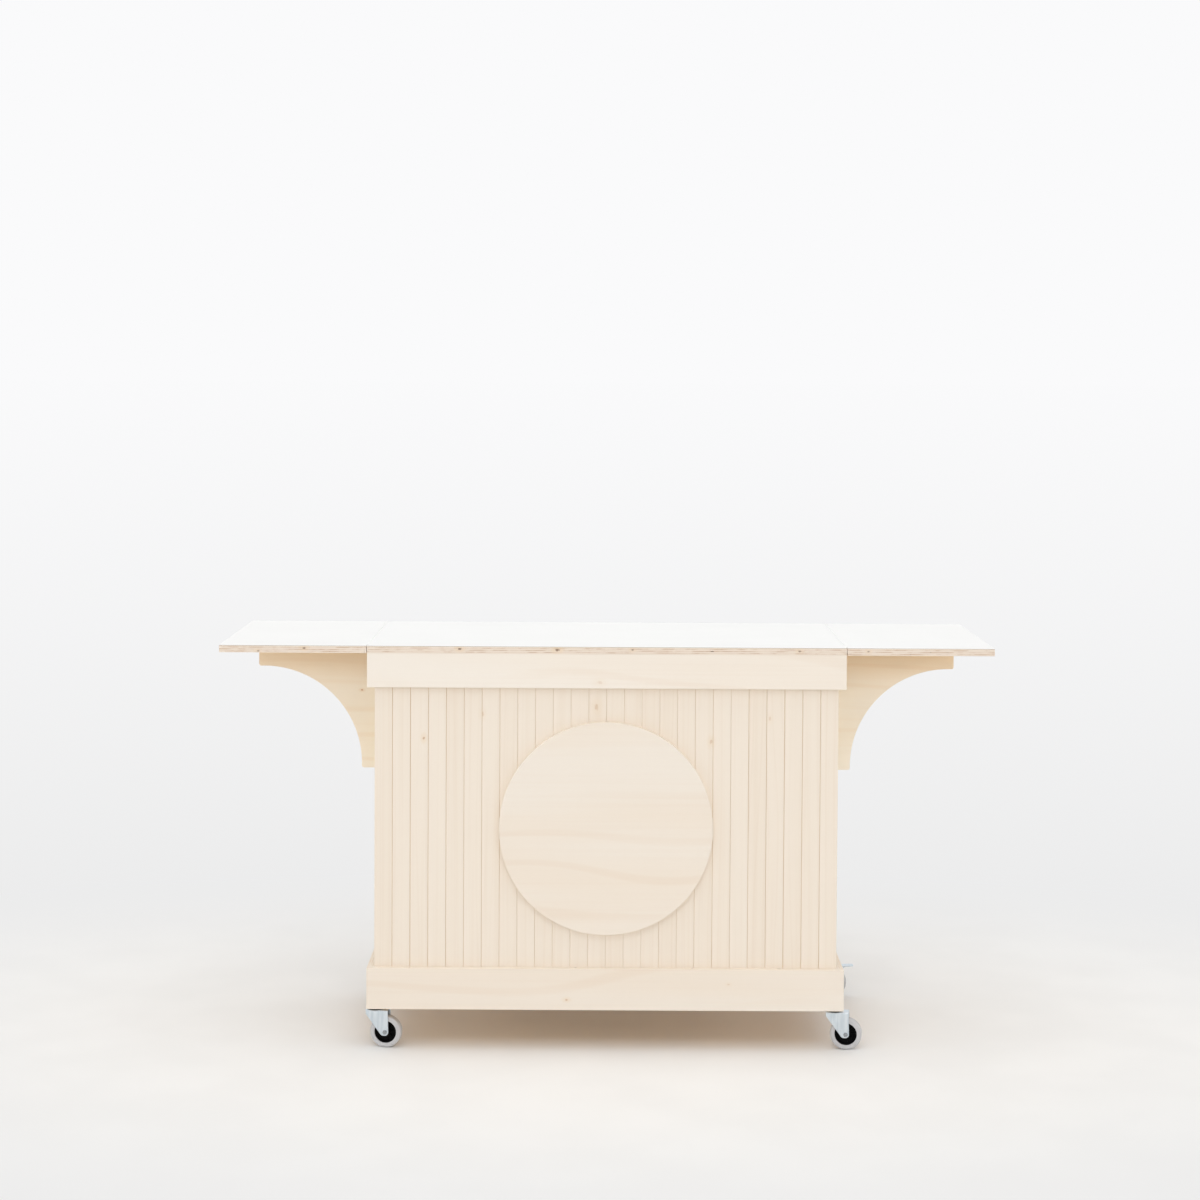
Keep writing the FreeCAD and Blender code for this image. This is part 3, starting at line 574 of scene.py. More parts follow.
def turnShape(profile, steps, toSpace, closed=False):
    # a profile of (radius, height) turned about its height axis; radius 0 closes a pole
    bm = bmesh.new()
    angles = [tau * k / steps for k in range(steps)]
    rings = []
    for radius, height in profile:
        if radius < tiny:
            rings.append([bm.verts.new(toSpace(0, 0, height))])
        else:
            rings.append([bm.verts.new(toSpace(radius * cos(a), radius * sin(a), height)) for a in angles])
    for first, second in zip(rings, rings[1:] + rings[:1] if closed else rings[1:]):
        bridge(bm, first, second)
    return bm


def arcPoints(centre, radius, start, end, steps):
    # angles in degrees
    angles = [radians(start + (end - start) * k / steps) for k in range(steps + 1)]
    return [(centre[0] + radius * cos(a), centre[1] + radius * sin(a)) for a in angles]


def roundCorner(before, corner, after, radius, steps=6):
    # the arc that rounds one corner of an outline
    corner = Vector(corner)
    toBefore = (Vector(before) - corner).normalized()
    toAfter = (Vector(after) - corner).normalized()
    half = toBefore.angle(toAfter) / 2
    centre = corner + (toBefore + toAfter).normalized() * (radius / sin(half))
    reach = radius / tan(half)
    first, last = corner + toBefore * reach - centre, corner + toAfter * reach - centre
    return [tuple(centre + first.lerp(last, k / steps).normalized() * radius) for k in range(steps + 1)]


# boards: each mesh knows its own grain, thickness and sawn edges

def dressBoard(mesh, along, through, plies, seed):
    points = np.empty(len(mesh.vertices) * 3)
    mesh.vertices.foreach_get("co", points)
    points = points.reshape(-1, 3)
    across = 3 - along - through
    onward = np.random.default_rng(seed).uniform(0, boardMaking["spread"], 3)
    space = points[:, [along, across, through]] + onward
    low = points[:, through].min()
    level = (points[:, through] - low) / (points[:, through].max() - low) * plies
    mesh.attributes.new("boardSpace", "FLOAT_VECTOR", "POINT").data.foreach_set("vector", space.ravel())
    mesh.attributes.new("plyLevel", "FLOAT", "POINT").data.foreach_set("value", level)
    sawn = [0.0 if abs(face.normal[through]) > 0.5 else 1.0 for face in mesh.polygons]
    facesUp = [1.0 if face.normal.z > 0.5 else 0.0 for face in mesh.polygons]
    for label, marks in (("sawnEdge", sawn), ("facesUp", facesUp)):
        mesh.attributes.new(label, "FLOAT", "FACE").data.foreach_set("value", marks)
    return mesh


boardMaking = {"arris": 0.0007, "battenArris": 0.0015, "spread": 30,      # spread keeps figures apart
               "rebateWidth": 0.0012, "rebateDepth": 0.00075, "rebateArris": 0.0002}

# finish: node: grain axis, thickness axis, number of layers, seed
plainBoards = {
    "bandBoardWood": {
        "front_band": (0, 1, 7, 11), "rear_band": (0, 1, 7, 12),
        "left_side_band": (1, 0, 7, 15), "right_side_band": (1, 0, 7, 16)},
    "paleBoardWood": {
        "front_plinth": (0, 1, 7, 13), "rear_plinth": (0, 1, 7, 14),
        "left_plinth": (1, 0, 7, 17), "right_plinth": (1, 0, 7, 18),
        "left_side_panel": (2, 0, 7, 19), "right_side_panel": (2, 0, 7, 20),
        "front_backing_panel": (0, 1, 5, 21), "shelf": (0, 2, 7, 23)},
    "deckBoardWood": {"bottom_deck": (0, 2, 11, 22)},
    "tanBoardWood": {"left_bracket_cleat": (2, 0, 7, 24), "right_bracket_cleat": (2, 0, 7, 25)},
}

for wood, boards in plainBoards.items():
    for node, grain in boards.items():
        shape = boxShape(*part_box(node))
        mesh = finishMesh(shape, pieceName(node), boardMaking["arris"])
        slotName = "bracket_ply" if "bracket" in node else "birch_ply"
        addPiece(pieceName(node), dressBoard(mesh, *grain), woods[wood], "cart", slotName, node)


def worktopOutline(low, high, notchLeft, notchRight):
    # section of a worktop board, notched at the hinge ends
    wide, deep = boardMaking["rebateWidth"], boardMaking["rebateDepth"]

    def topEnd(edge, inner, notched):
        notch = [(edge, high.z - deep), (inner, high.z - deep), (inner, high.z)]
        return notch if notched else [(edge, high.z)]

    right = topEnd(high.x, high.x - wide, notchRight)
    left = topEnd(low.x, low.x + wide, notchLeft)
    return [(low.x, low.z), (high.x, low.z), *right, *reversed(left)]


# node: body, laminate node, notch at its left end, notch at its right end, seed
worktops = {
    "centre_worktop": ("cart", "centre_laminate", True, True, 31),
    "left_leaf": ("left_leaf", "left_leaf_laminate", False, True, 32),
    "right_leaf": ("right_leaf", "right_leaf_laminate", True, False, 33),
}
laminate = {"edge": 0.00025, "reach": 0.0005, "jointsWithin": 0.61}   # reach is towards the hinge knuckle

for node, (body, laminateNode, notchLeft, notchRight, seed) in worktops.items():
    low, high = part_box(node)
    shape = extrudeShape(worktopOutline(low, high, notchLeft, notchRight), low.y, high.y, alongY)
    name = pieceName(node) + "Board"
    mesh = dressBoard(finishMesh(shape, name, boardMaking["rebateArris"]), 0, 2, plies=7, seed=seed)
    addPiece(name, mesh, woods["topBoardWood"], body, "birch_ply", node)
    low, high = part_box(laminateNode)
    low.x -= laminate["reach"] if notchLeft else 0.0
    high.x += laminate["reach"] if notchRight else 0.0
    name = pieceName(laminateNode)
    mesh = dressBoard(finishMesh(boxShape(low, high), name, laminate["edge"]), 0, 2, plies=1, seed=seed)
    for mark, face in zip(mesh.attributes["sawnEdge"].data, mesh.polygons):
        if abs(face.normal.x) > 0.5 and abs(face.center.x) < laminate["jointsWithin"]:
            mark.value = 0.0
    addPiece(name, mesh, materials["whiteLaminate"], body, "white_laminate", laminateNode)

battens = []
low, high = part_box("top_battens")
battenSize = high.z - low.z
for startX in (low.x, high.x - battenSize):
    shape = boxShape((startX, low.y, low.z), (startX + battenSize, high.y, high.z))
    battens.append(finishMesh(shape, "topBatten", boardMaking["battenArris"]))
mesh = dressBoard(joinMeshes("topBattens", battens), 1, 0, plies=1, seed=34)
mesh.attributes["sawnEdge"].data.foreach_set("value", [0.0] * len(mesh.polygons))
addPiece("topBattens", mesh, woods["tanBoardWood"], "cart", "birch_ply", "top_battens")
print("boards made:", sum(len(boards) for boards in plainBoards.values()) + len(worktops) * 2 + 1)


# round panel planted on the front boards

roundPanel = {"arris": 0.0012, "steps": 256, "plies": 7, "seed": 41}

low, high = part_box("round_panel")
discCentre = (low + high) / 2
discRadius = (high.x - low.x) / 2
arris = roundPanel["arris"]
rim = [(0, low.y), (discRadius - arris, low.y)]
rim += arcPoints((discRadius - arris, low.y + arris), arris, -60, 0, 2)
rim += [(discRadius, high.y), (0, high.y)]
shape = turnShape(rim, roundPanel["steps"], lambda u, v, depth: (discCentre.x + u, depth, discCentre.z + v))
mesh = dressBoard(finishMesh(shape, "roundPanel"), 0, 1, roundPanel["plies"], roundPanel["seed"])
addPiece("roundPanel", mesh, woods["paleBoardWood"], "cart", "birch_ply", "round_panel")
print("round panel made")


# tools that set out repeated pieces by nodes

def newRowTool(name, inputs):
    return newTree(name, inputs, {"Geometry": "Geometry"}, "GeometryNodeTree")


def endTool(tree, instances, result, material):
    real = addNode(tree, "GeometryNodeRealizeInstances", {0: instances})
    painted = addNode(tree, "GeometryNodeSetMaterial", {"Geometry": real[0], "Material": material})
    tree.links.new(painted[0], result[0])


def runTool(name, tree, keys, values):
    holder = addObject(name + "Holder", bpy.data.meshes.new(name + "Empty"))
    modifier = holder.modifiers.new("setOut", "NODES")
    modifier.node_group = tree
    for label, value in values.items():
        modifier[keys[label]] = value
    return settle(holder, name)


# front boards: one bevelled board, set out in a row

frontBoards = {
    "count": 26, "gap": 0.0005, "bevel": 0.0009, "arris": 0.00025,
    "seed": 7, "uneven": (0.0001, 0.0001, 0.0), "crowd": 0.001,     # crowd narrows the middle gaps
    "tongue": 0.0016, "tongueFront": 0.0019, "tongueThick": 0.003, "groove": 0.0022, "grooveEase": 0.0002,
}


def buildBoardRow(material):
    # the first board has no groove and the last no tongue
    tree, given, result, keys = newRowTool("boardRow", {
        "Object": "First Middle Last", "Int": "Count Seed", "Float": "Pitch Crowd", "Vector": "Uneven"})
    line = addNode(tree, "GeometryNodeMeshLine", {
        "Count": given["Count"], "Offset": vectorOf(tree, X=given["Pitch"])})
    kinds = tree.nodes.new("GeometryNodeJoinGeometry")
    for label in ("Last", "Middle", "First"):
        board = addNode(tree, "GeometryNodeObjectInfo", {"Object": given[label], "As Instance": True})
        tree.links.new(board["Geometry"], kinds.inputs[0])
    number = addNode(tree, "GeometryNodeInputIndex")[0]
    lastNumber = calc(tree, "SUBTRACT", given["Count"], 1.0)
    turn = times(tree, calc(tree, "DIVIDE", number, lastNumber), tau)
    shift = vectorOf(tree, X=times(tree, calc(tree, "SINE", turn), given["Crowd"]))
    places = addNode(tree, "GeometryNodeSetPosition", {"Geometry": line[0], "Offset": shift})
    notFirst, isLast = calc(tree, "GREATER_THAN", number, 0.0), calc(tree, "COMPARE", number, lastNumber)
    kind = calc(tree, "ADD", notFirst, isLast)
    row = addNode(tree, "GeometryNodeInstanceOnPoints", {
        "Points": places[0], "Instance": kinds.outputs[0], "Pick Instance": True, "Instance Index": kind})
    nudge = addNode(tree, "FunctionNodeRandomValue", {
        0: stretch(tree, given["Uneven"], (-1.0, -1.0, -1.0)), 1: given["Uneven"], "Seed": given["Seed"]},
        data_type="FLOAT_VECTOR")
    moved = addNode(tree, "GeometryNodeTranslateInstances", {"Instances": row[0], "Translation": nudge[0]})
    chance = addNode(tree, "FunctionNodeRandomValue", {"Seed": given["Seed"]}, data_type="FLOAT")
    marked = addNode(tree, "GeometryNodeStoreNamedAttribute", {
        "Geometry": moved[0], "Name": "boardSeed", "Value": chance[1]}, data_type="FLOAT", domain="INSTANCE")
    endTool(tree, marked[0], result, material)
    return tree, keys


def frontBoardShape(name, low, high, width, tongued, grooved):
    left, right, bevel = low.x, low.x + width, frontBoards["bevel"]
    front = low.y + frontBoards["tongueFront"]
    back = front + frontBoards["tongueThick"]
    section = [(left, low.y + bevel), (left + bevel, low.y), (right - bevel, low.y), (right, low.y + bevel)]
    if tongued:
        far = right + frontBoards["tongue"]
        section += [(right, front), (far, front), (far, back), (right, back)]
    section += [(right, high.y), (left, high.y)]
    if grooved:
        ease, deep = frontBoards["grooveEase"], left + frontBoards["groove"]
        section += [(left, back + ease), (deep, back + ease), (deep, front - ease), (left, front - ease)]
    shape = extrudeShape(section, low.z, high.z, upright)
    return addObject(name, finishMesh(shape, name, frontBoards["arris"], sharpAngle=30))


low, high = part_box("front_slats")
pitch = (high.x - low.x + frontBoards["gap"]) / frontBoards["count"]
width = pitch - frontBoards["gap"]
boardKinds = {}
for kind, tongued, grooved in (("First", True, False), ("Middle", True, True), ("Last", False, True)):
    boardKinds[kind] = frontBoardShape(kind + "Board", low, high, width, tongued, grooved)
rowTree, rowKeys = buildBoardRow(woods["frontBoardWood"])
mesh = runTool("frontBoards", rowTree, rowKeys, {
    **boardKinds, "Count": frontBoards["count"], "Pitch": pitch,
    "Uneven": frontBoards["uneven"], "Crowd": frontBoards["crowd"], "Seed": frontBoards["seed"]})
for board in boardKinds.values():
    bpy.data.objects.remove(board)
addPiece("frontBoards", mesh, None, "cart", "front_boards", "front_slats")
print("front boards set out:", frontBoards["count"])


# brackets with their quarter-round cut-out

bracketShape = {"tip": 0.066, "foot": 0.0364, "curve": 0.255, "corner": 0.006, "arris": 0.0006,
                "gap": 0.0003, "plies": 7, "steps": 72, "cornerSteps": 6}


def bracketOutline(reach, drop):
    # u runs outwards from the hinge, v up from the foot
    radius, corner, steps = bracketShape["curve"], bracketShape["corner"], bracketShape["cornerSteps"]
    top = drop + bracketShape["gap"]
    centre = (bracketShape["foot"] + radius, top - bracketShape["tip"] - radius)
    grown = radius + corner
    tipAt = (reach - corner, centre[1] + sqrt(grown ** 2 - (reach - corner - centre[0]) ** 2))
    footAt = (centre[0] - sqrt(grown ** 2 - (corner - centre[1]) ** 2), corner)
    tipAngle = degrees(atan2(tipAt[1] - centre[1], tipAt[0] - centre[0]))
    footAngle = degrees(atan2(footAt[1] - centre[1], footAt[0] - centre[0])) % 360
    outline = [(0, 0)]
    outline += arcPoints(footAt, corner, -90, footAngle - 180, steps)
    outline += arcPoints(centre, radius, footAngle, tipAngle, bracketShape["steps"])[1:-1]
    outline += arcPoints(tipAt, corner, tipAngle - 180, 0, steps)
    return outline + [(reach, drop), (0, drop)]


for hand, side, seed in (("left", -1, 51), ("right", 1, 52)):
    node = f"{hand}_bracket"
    low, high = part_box(node)
    near = high.x if side < 0 else low.x
    shape = extrudeShape(bracketOutline(high.x - low.x, high.z - low.z), low.y, high.y,
                         lambda u, v, depth: (near + side * u, depth, low.z + v))
    mesh = finishMesh(shape, f"{hand}Bracket", bracketShape["arris"])
    dressBoard(mesh, 0, 1, bracketShape["plies"], seed)
    addPiece(f"{hand}BracketBoard", mesh, woods["tanBoardWood"], node, "bracket_ply", node)
print("brackets made")


# castors, each made about its swivel axis and then set in its place

castor = {
    "top": 0.0962, "front": 0.021, "shoulder": 0.011, "end": 0.009, "tail": 0.007, "corner": 0.009,
    "inside": 0.028, "sheet": 0.002, "bend": 0.0025, "bendSteps": 5, "columns": 10,
    "arris": 0.0007, "sharpAngle": 50,
    "crown": 0.023, "crownThick": 0.0025, "crownSteps": 64, "crownEdgeSteps": 8,
}
wheel = {
    "radius": 0.04, "width": 0.025, "shoulder": 0.006, "shoulderEase": 0.001, "lip": 0.0004, "steps": 96,
    "seamWidth": 0.0004, "seamDepth": 0.00015, "fit": 0.00005,          # fit of the tyre on the core
    "core": 0.028, "coreWidth": 0.021, "rim": 0.004, "web": 0.009, "webEase": 0.0012, "soft": 0.0006,
    "hub": 0.011, "hubEase": 0.0004, "hubHalf": 0.0137, "bore": 0.00305,
    "ribs": 9, "ribThick": 0.0022, "ribHeight": 0.0068, "ribSink": 0.0005, "ribArris": 0.0004,
}
axle = {"radius": 0.003, "head": 0.0058, "flatShare": 0.866, "thick": 0.0035, "arris": 0.0005,
        "dimple": 0.0026, "sunk": 0.0009, "steps": 32}
pedal = {
    "offset": 0.002, "height": 0.084, "pin": 0.0025, "pinEnd": 0.0015, "pinSoft": 0.0006, "pinSteps": 32,
    "width": 0.024, "sheet": 0.0025, "flat": 0.033, "back": 0.004, "reach": 0.057, "rise": 0.001,
    "corner": 0.006, "cornerSteps": 6, "arris": 0.0004,
    "shoeAngle": 36, "shoeSpread": 4, "shoeRoot": 0.004, "shoeGap": 0.004,
    "ribs": 4, "ribStart": 0.005, "ribStep": 0.0045, "ribWidth": 0.0012, "ribHeight": 0.0007,
    "ribInset": 0.005, "ribArris": 0.0003,
}
forkHalf = castor["inside"] / 2 + castor["sheet"]


def castorPlace(spot):
    swivel = Vector(joints[f"{spot}_swivel"]["pos_m"])
    roll = Vector(joints[f"{spot}_roll"]["pos_m"])
    lead = Vector((roll.x - swivel.x, roll.y - swivel.y))
    place = Matrix.Translation((swivel.x, swivel.y, 0)) @ Matrix.Rotation(atan2(lead.y, lead.x), 4, "Z")
    return place, lead.length


def forkSheet(name, trail):
    # one sheet: rows run up one side, over the top and down the other
    top, low = castor["top"], wheel["radius"] - castor["end"]
    leftFoot, rightFoot = (trail - castor["end"], low), (trail + castor["end"], low)
    leftShoulder, rightTop = (-castor["front"], top - castor["shoulder"]), (trail + castor["tail"], top)
    leftChain = roundCorner(rightFoot, leftFoot, leftShoulder, castor["corner"])
    leftChain += [leftShoulder, (-castor["front"], top)]
    rightChain = roundCorner(leftFoot, rightFoot, rightTop, castor["corner"]) + [rightTop]
    leftX, leftZ = np.array(leftChain).T
    rightX, rightZ = np.array(rightChain).T
    bendStart, flat, columns = top - castor["bend"], forkHalf - castor["bend"], castor["columns"]
    heights = sorted({round(float(z), 7) for z in (*leftZ, *rightZ) if z < bendStart} | {bendStart})
    rows = [(forkHalf, z) for z in heights]
    rows += [(flat + dy, bendStart + dz)
             for dy, dz in arcPoints((0, 0), castor["bend"], 0, 90, castor["bendSteps"])[1:]]
    rows += [(flat * share, top) for share in (0.5, 0.0)]
    rows += [(-y, z) for y, z in reversed(rows[:-1])]
    bm = bmesh.new()
    grid = []
    for y, z in rows:
        start, end = np.interp(z, leftZ, leftX), np.interp(z, rightZ, rightX)
        grid.append([bm.verts.new((start + (end - start) * k / columns, y, z)) for k in range(columns + 1)])
    for first, second in zip(grid, grid[1:]):
        for k in range(columns):
            bm.faces.new((first[k], second[k], second[k + 1], first[k + 1]))
    bmesh.ops.recalc_face_normals(bm, faces=bm.faces)
    return toMesh(bm, name)


def forkMesh(name, trail):
    # the bent sheet gets its thickness and soft edges, and a pressed crown
    sheet = forkSheet(name + "Sheet", trail)
    outward = sum(face.normal.y * face.center.y for face in sheet.polygons) > 0
    holder = addObject(name + "Holder", sheet)
    setAll(holder.modifiers.new("sheetThickness", "SOLIDIFY"),
           thickness=castor["sheet"], offset=-1 if outward else 1)
    setAll(holder.modifiers.new("sheetEdges", "BEVEL"), width=castor["arris"], limit_method="ANGLE",
           segments=meshMaking["bevelSteps"], angle_limit=radians(castor["sharpAngle"]))
    sides = settle(holder, name + "Sides")
    top, thick = castor["top"], castor["crownThick"]
    half = thick / 2
    edge = arcPoints((castor["crown"] - half, top - half), half, 90, -90, castor["crownEdgeSteps"])
    crown = turnShape([(0, top)] + edge + [(0, top - thick)], castor["crownSteps"], upright)
    return joinMeshes(name, [sides, finishMesh(crown, name + "Crown")])


def mirrored(points):
    return [(radius, -height) for radius, height in reversed(points)]


def wheelMesh(name, profile):
    return finishMesh(turnShape(profile, wheel["steps"], alongY, closed=True), name)


def tyreMesh(name):
    half, outer, shoulder, lip = wheel["width"] / 2, wheel["radius"], wheel["shoulder"], wheel["lip"]
    inner = wheel["core"] + wheel["fit"]
    side = [(inner, half - lip), (inner + lip, half), (outer - shoulder - wheel["shoulderEase"], half)]
    side += arcPoints((outer - shoulder, half - shoulder), shoulder, 80, 0, 7)
    side += [(outer, wheel["seamWidth"])]
    return wheelMesh(name, side + [(outer - wheel["seamDepth"], 0.0)] + mirrored(side))


def coreMesh(name, ribTool):
    rim, web, hub, soft = wheel["core"] - wheel["rim"], wheel["web"] / 2, wheel["hub"], wheel["soft"]
    half, hubHalf, ease = wheel["coreWidth"] / 2, wheel["hubHalf"], wheel["webEase"]
    side = [(wheel["core"], half - soft), (wheel["core"] - soft, half), (rim + soft, half),
            (rim, half - soft), (rim - soft, web + soft), (rim - ease, web), (hub + ease, web),
            (hub + wheel["hubEase"], web + soft), (hub, hubHalf - soft), (hub - soft, hubHalf),
            (wheel["bore"], hubHalf)]
    body = wheelMesh(name, side + mirrored(side))
    length, high, thick = rim - hub, wheel["ribHeight"], wheel["ribThick"] / 2
    rib = boxShape((-length / 2 - wheel["ribSink"], -high, -thick), (length / 2, high, thick))
    holder = addObject("oneRib", finishMesh(rib, "oneRib", wheel["ribArris"]))
    tree, keys = ribTool
    ribs = runTool(name + "Ribs", tree, keys, {
        "Rib": holder, "Count": wheel["ribs"], "Ring": hub + length / 2})
    bpy.data.objects.remove(holder)
    return joinMeshes(name, [body, ribs])


def buildRibTool(material):
    # ribs on a ring about the Y axis, each pointing to the hub
    tree, given, result, keys = newRowTool("coreRibs", {"Object": "Rib", "Int": "Count", "Float": "Ring"})
    ring = addNode(tree, "GeometryNodeMeshCircle", {"Vertices": given["Count"], "Radius": given["Ring"]})
    turnedRing = addNode(tree, "GeometryNodeTransform", {"Geometry": ring[0], "Rotation": (pi / 2, 0, 0)})
    rib = addNode(tree, "GeometryNodeObjectInfo", {"Object": given["Rib"]})
    place = addNode(tree, "GeometryNodeInputPosition")
    aim = addNode(tree, "FunctionNodeAlignRotationToVector", {"Vector": place[0]}, axis="X", pivot_axis="Y")
    spread = addNode(tree, "GeometryNodeInstanceOnPoints", {
        "Points": turnedRing[0], "Instance": rib["Geometry"], "Rotation": aim[0]})
    endTool(tree, spread[0], result, material)
    return tree, keys


def hexHead(start, end):
    # a chamfered hexagon with a sunk centre on its outer face
    bm = extrudeShape(arcPoints((0, 0), axle["head"], 0, 300, 5), start, end, alongY)
    outer = max(bm.faces, key=lambda face: abs(face.calc_center_median().y))
    bmesh.ops.recalc_face_normals(bm, faces=bm.faces)
    inset = axle["head"] * axle["flatShare"] - axle["dimple"]
    bmesh.ops.inset_individual(bm, faces=[outer], thickness=inset)
    for vert in outer.verts:
        vert.co.y -= copysign(axle["sunk"], vert.co.y)
    return finishMesh(bm, "hexHead", axle["arris"], sharpAngle=25)


def axleMesh(name):
    radius, outside = axle["radius"], forkHalf + axle["thick"]
    shaft = turnShape([(0, -forkHalf), (radius, -forkHalf), (radius, forkHalf), (0, forkHalf)],
                      axle["steps"], alongY)
    return joinMeshes(name, [finishMesh(shaft, name + "Shaft"), hexHead(-forkHalf, -outside),
                             hexHead(forkHalf, outside)])


def pedalOutline(trail):
    pivot = trail + pedal["offset"]
    back, flat, tip = pivot - pedal["back"], pivot + pedal["flat"], pivot + pedal["reach"]
    top, bottom = pedal["height"] + pedal["sheet"] / 2, pedal["height"] - pedal["sheet"] / 2
    away = wheel["radius"] + pedal["shoeGap"]
    shoe = [(trail + away * sin(radians(angle)), wheel["radius"] + away * cos(radians(angle)))
            for angle in (pedal["shoeAngle"] + pedal["shoeSpread"], pedal["shoeAngle"])]
    return [(back, top), (flat, top), (tip, top + pedal["rise"]), (tip, bottom + pedal["rise"]),
            (flat, bottom), *shoe, (flat - pedal["shoeRoot"], bottom), (back, bottom)]


def pedalMesh(name, trail):
    half, pivot = pedal["width"] / 2, trail + pedal["offset"]
    bm = extrudeShape(pedalOutline(trail), -half, half, alongY)
    tip = pivot + pedal["reach"]
    corners = [e for e in bm.edges if all(abs(v.co.x - tip) < tiny for v in e.verts)
               and abs(e.verts[0].co.y - e.verts[1].co.y) < tiny]
    bmesh.ops.bevel(bm, geom=corners, offset=pedal["corner"], segments=pedal["cornerSteps"],
                    profile=0.5, affect="EDGES")
    plate = finishMesh(bm, name + "Plate", pedal["arris"], sharpAngle=30)
    end, soft = forkHalf + pedal["pinEnd"], pedal["pinSoft"]
    pinEdge = arcPoints((pedal["pin"] - soft, end - soft), soft, 0, 90, 3)
    pin = turnShape([(0, -end)] + mirrored(pinEdge) + pinEdge + [(0, end)], pedal["pinSteps"],
                    lambda u, v, depth: (pivot + u, depth, pedal["height"] + v))
    slope = atan2(pedal["rise"], pedal["reach"] - pedal["flat"])
    size = Vector((pedal["ribWidth"], pedal["width"] - 2 * pedal["ribInset"], 2 * pedal["ribHeight"]))
    ribs = []
    for k in range(pedal["ribs"]):
        run = pedal["flat"] + pedal["ribStart"] + k * pedal["ribStep"]
        lift = (run - pedal["flat"]) * tan(slope)
        centre = Vector((pivot + run, 0, pedal["height"] + pedal["sheet"] / 2 + lift))
        rib = boxShape(-size / 2, size / 2)
        place = Matrix.Translation(centre) @ Matrix.Rotation(-slope, 4, "Y")
        bmesh.ops.transform(rib, matrix=place, verts=rib.verts)
        ribs.append(finishMesh(rib, name + "Rib", pedal["ribArris"]))
    return joinMeshes(name, [plate, finishMesh(pin, name + "Pin"), *ribs])


ribTool = buildRibTool(materials["blackCore"])
spots = ("front_left", "front_right", "rear_left", "rear_right")
for spot in spots:
    place, trail = castorPlace(spot)
    axlePlace = place @ Matrix.Translation((trail, 0, wheel["radius"]))
    label = pieceName(spot)
    made = [
        ("fork", forkMesh(label + "Fork", trail), place, "zincPlate", "castor", "zinc_sheet"),
        ("axle", axleMesh(label + "Axle"), axlePlace, "axleSteel", "castor", "bright_steel"),
        ("tyre", tyreMesh(label + "Tyre"), axlePlace, "greyRubber", "wheel", "tyre_rubber"),
        ("wheel_core", coreMesh(label + "WheelCore", ribTool), axlePlace,
         "blackCore", "wheel", "core_plastic"),
    ]
    if spot.startswith("rear"):
        made.append(("brake_pedal", pedalMesh(label + "BrakePedal", trail), place, "zincPlate", "brake",
                     "zinc_sheet"))
    for part, mesh, matrix, finish, body, slotName in made:
        node = f"{spot}_{part}"
        mesh.transform(matrix)
        addPiece(pieceName(node), mesh, materials[finish], f"{spot}_{body}", slotName, node)

stem = {"race": 0.02, "raceThick": 0.0075, "top": 0.104, "king": 0.006, "kingHead": 0.009,
        "kingHeadThick": 0.004, "bolt": 0.005, "soft": 0.0006, "steps": 48}
low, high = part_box("castor_stems")
underDeck, soft = stem["top"], stem["soft"]
raceLow, headTop = underDeck - stem["raceThick"], low.z + stem["kingHeadThick"]
stemProfile = [
    (0, low.z), (stem["kingHead"] - soft, low.z), (stem["kingHead"], low.z + soft),
    (stem["kingHead"], headTop), (stem["king"], headTop), (stem["king"], raceLow),
    (stem["race"] - soft, raceLow), (stem["race"], raceLow + soft), (stem["race"], underDeck),
    (stem["bolt"], underDeck), (stem["bolt"], high.z), (0, high.z),
]
stems = []
for spot in spots:
    x, y, _ = joints[f"{spot}_swivel"]["pos_m"]
    shape = turnShape(stemProfile, stem["steps"], lambda u, v, depth: (x + u, y + v, depth))
    stems.append(finishMesh(shape, "castorStem"))
# the near-black finish paints the shade in the gap between the forks and the plinths
mesh = joinMeshes("castorStems", stems)
addPiece("castorStems", mesh, materials["blackSteel"], "cart", "black_steel", "castor_stems")
print("castors made:", len(spots))


# screws inside the cabinet, set out by nodes

screw = {"radius": 0.004, "thick": 0.0025, "rimShare": 0.35, "steps": 40, "weld": 1e-5,
         "slotWidth": 0.001, "slotReach": 0.0022, "slotDepth": 0.0012}


def screwHead():
    # a pan head standing on z = 0, with a cross cut into its crown
    radius, thick, rimShare = screw["radius"], screw["thick"], screw["rimShare"]
    dome = [(radius * cos(a), thick * (rimShare + (1 - rimShare) * sin(a)))
            for a in (radians(angle) for angle in range(0, 90, 15))]
    bm = turnShape([(0, 0), (radius, 0)] + dome + [(0, thick)], screw["steps"], upright)
    head = addObject("screwHead", finishMesh(bm, "screwHead"))
    reach, width = screw["slotReach"], screw["slotWidth"] / 2
    quarter = [(width, width), (width, reach), (-width, reach)]
    cross = []
    for _ in range(4):
        cross += quarter
        quarter = [(-v, u) for u, v in quarter]
    cutShape = extrudeShape(cross, thick - screw["slotDepth"], thick * 2, upright)
    cutter = addObject("crossCutter", finishMesh(cutShape, "crossCutter"))
    setAll(head.modifiers.new("cross", "BOOLEAN"), object=cutter, solver="EXACT")
    bpy.context.view_layer.update()
    mesh = settle(head, "screwHead")
    bpy.data.objects.remove(cutter)
    return mesh


def buildScrewTool(material):
    tree, given, result, keys = newRowTool("screwSet", {"Object": "Screw Spots", "Vector": "Turn"})
    heads, points = [addNode(tree, "GeometryNodeObjectInfo", {"Object": given[label]})["Geometry"]
                     for label in ("Screw", "Spots")]
    spread = addNode(tree, "GeometryNodeInstanceOnPoints", {
        "Points": points, "Instance": heads, "Rotation": given["Turn"]})
    endTool(tree, spread[0], result, material)
    return tree, keys


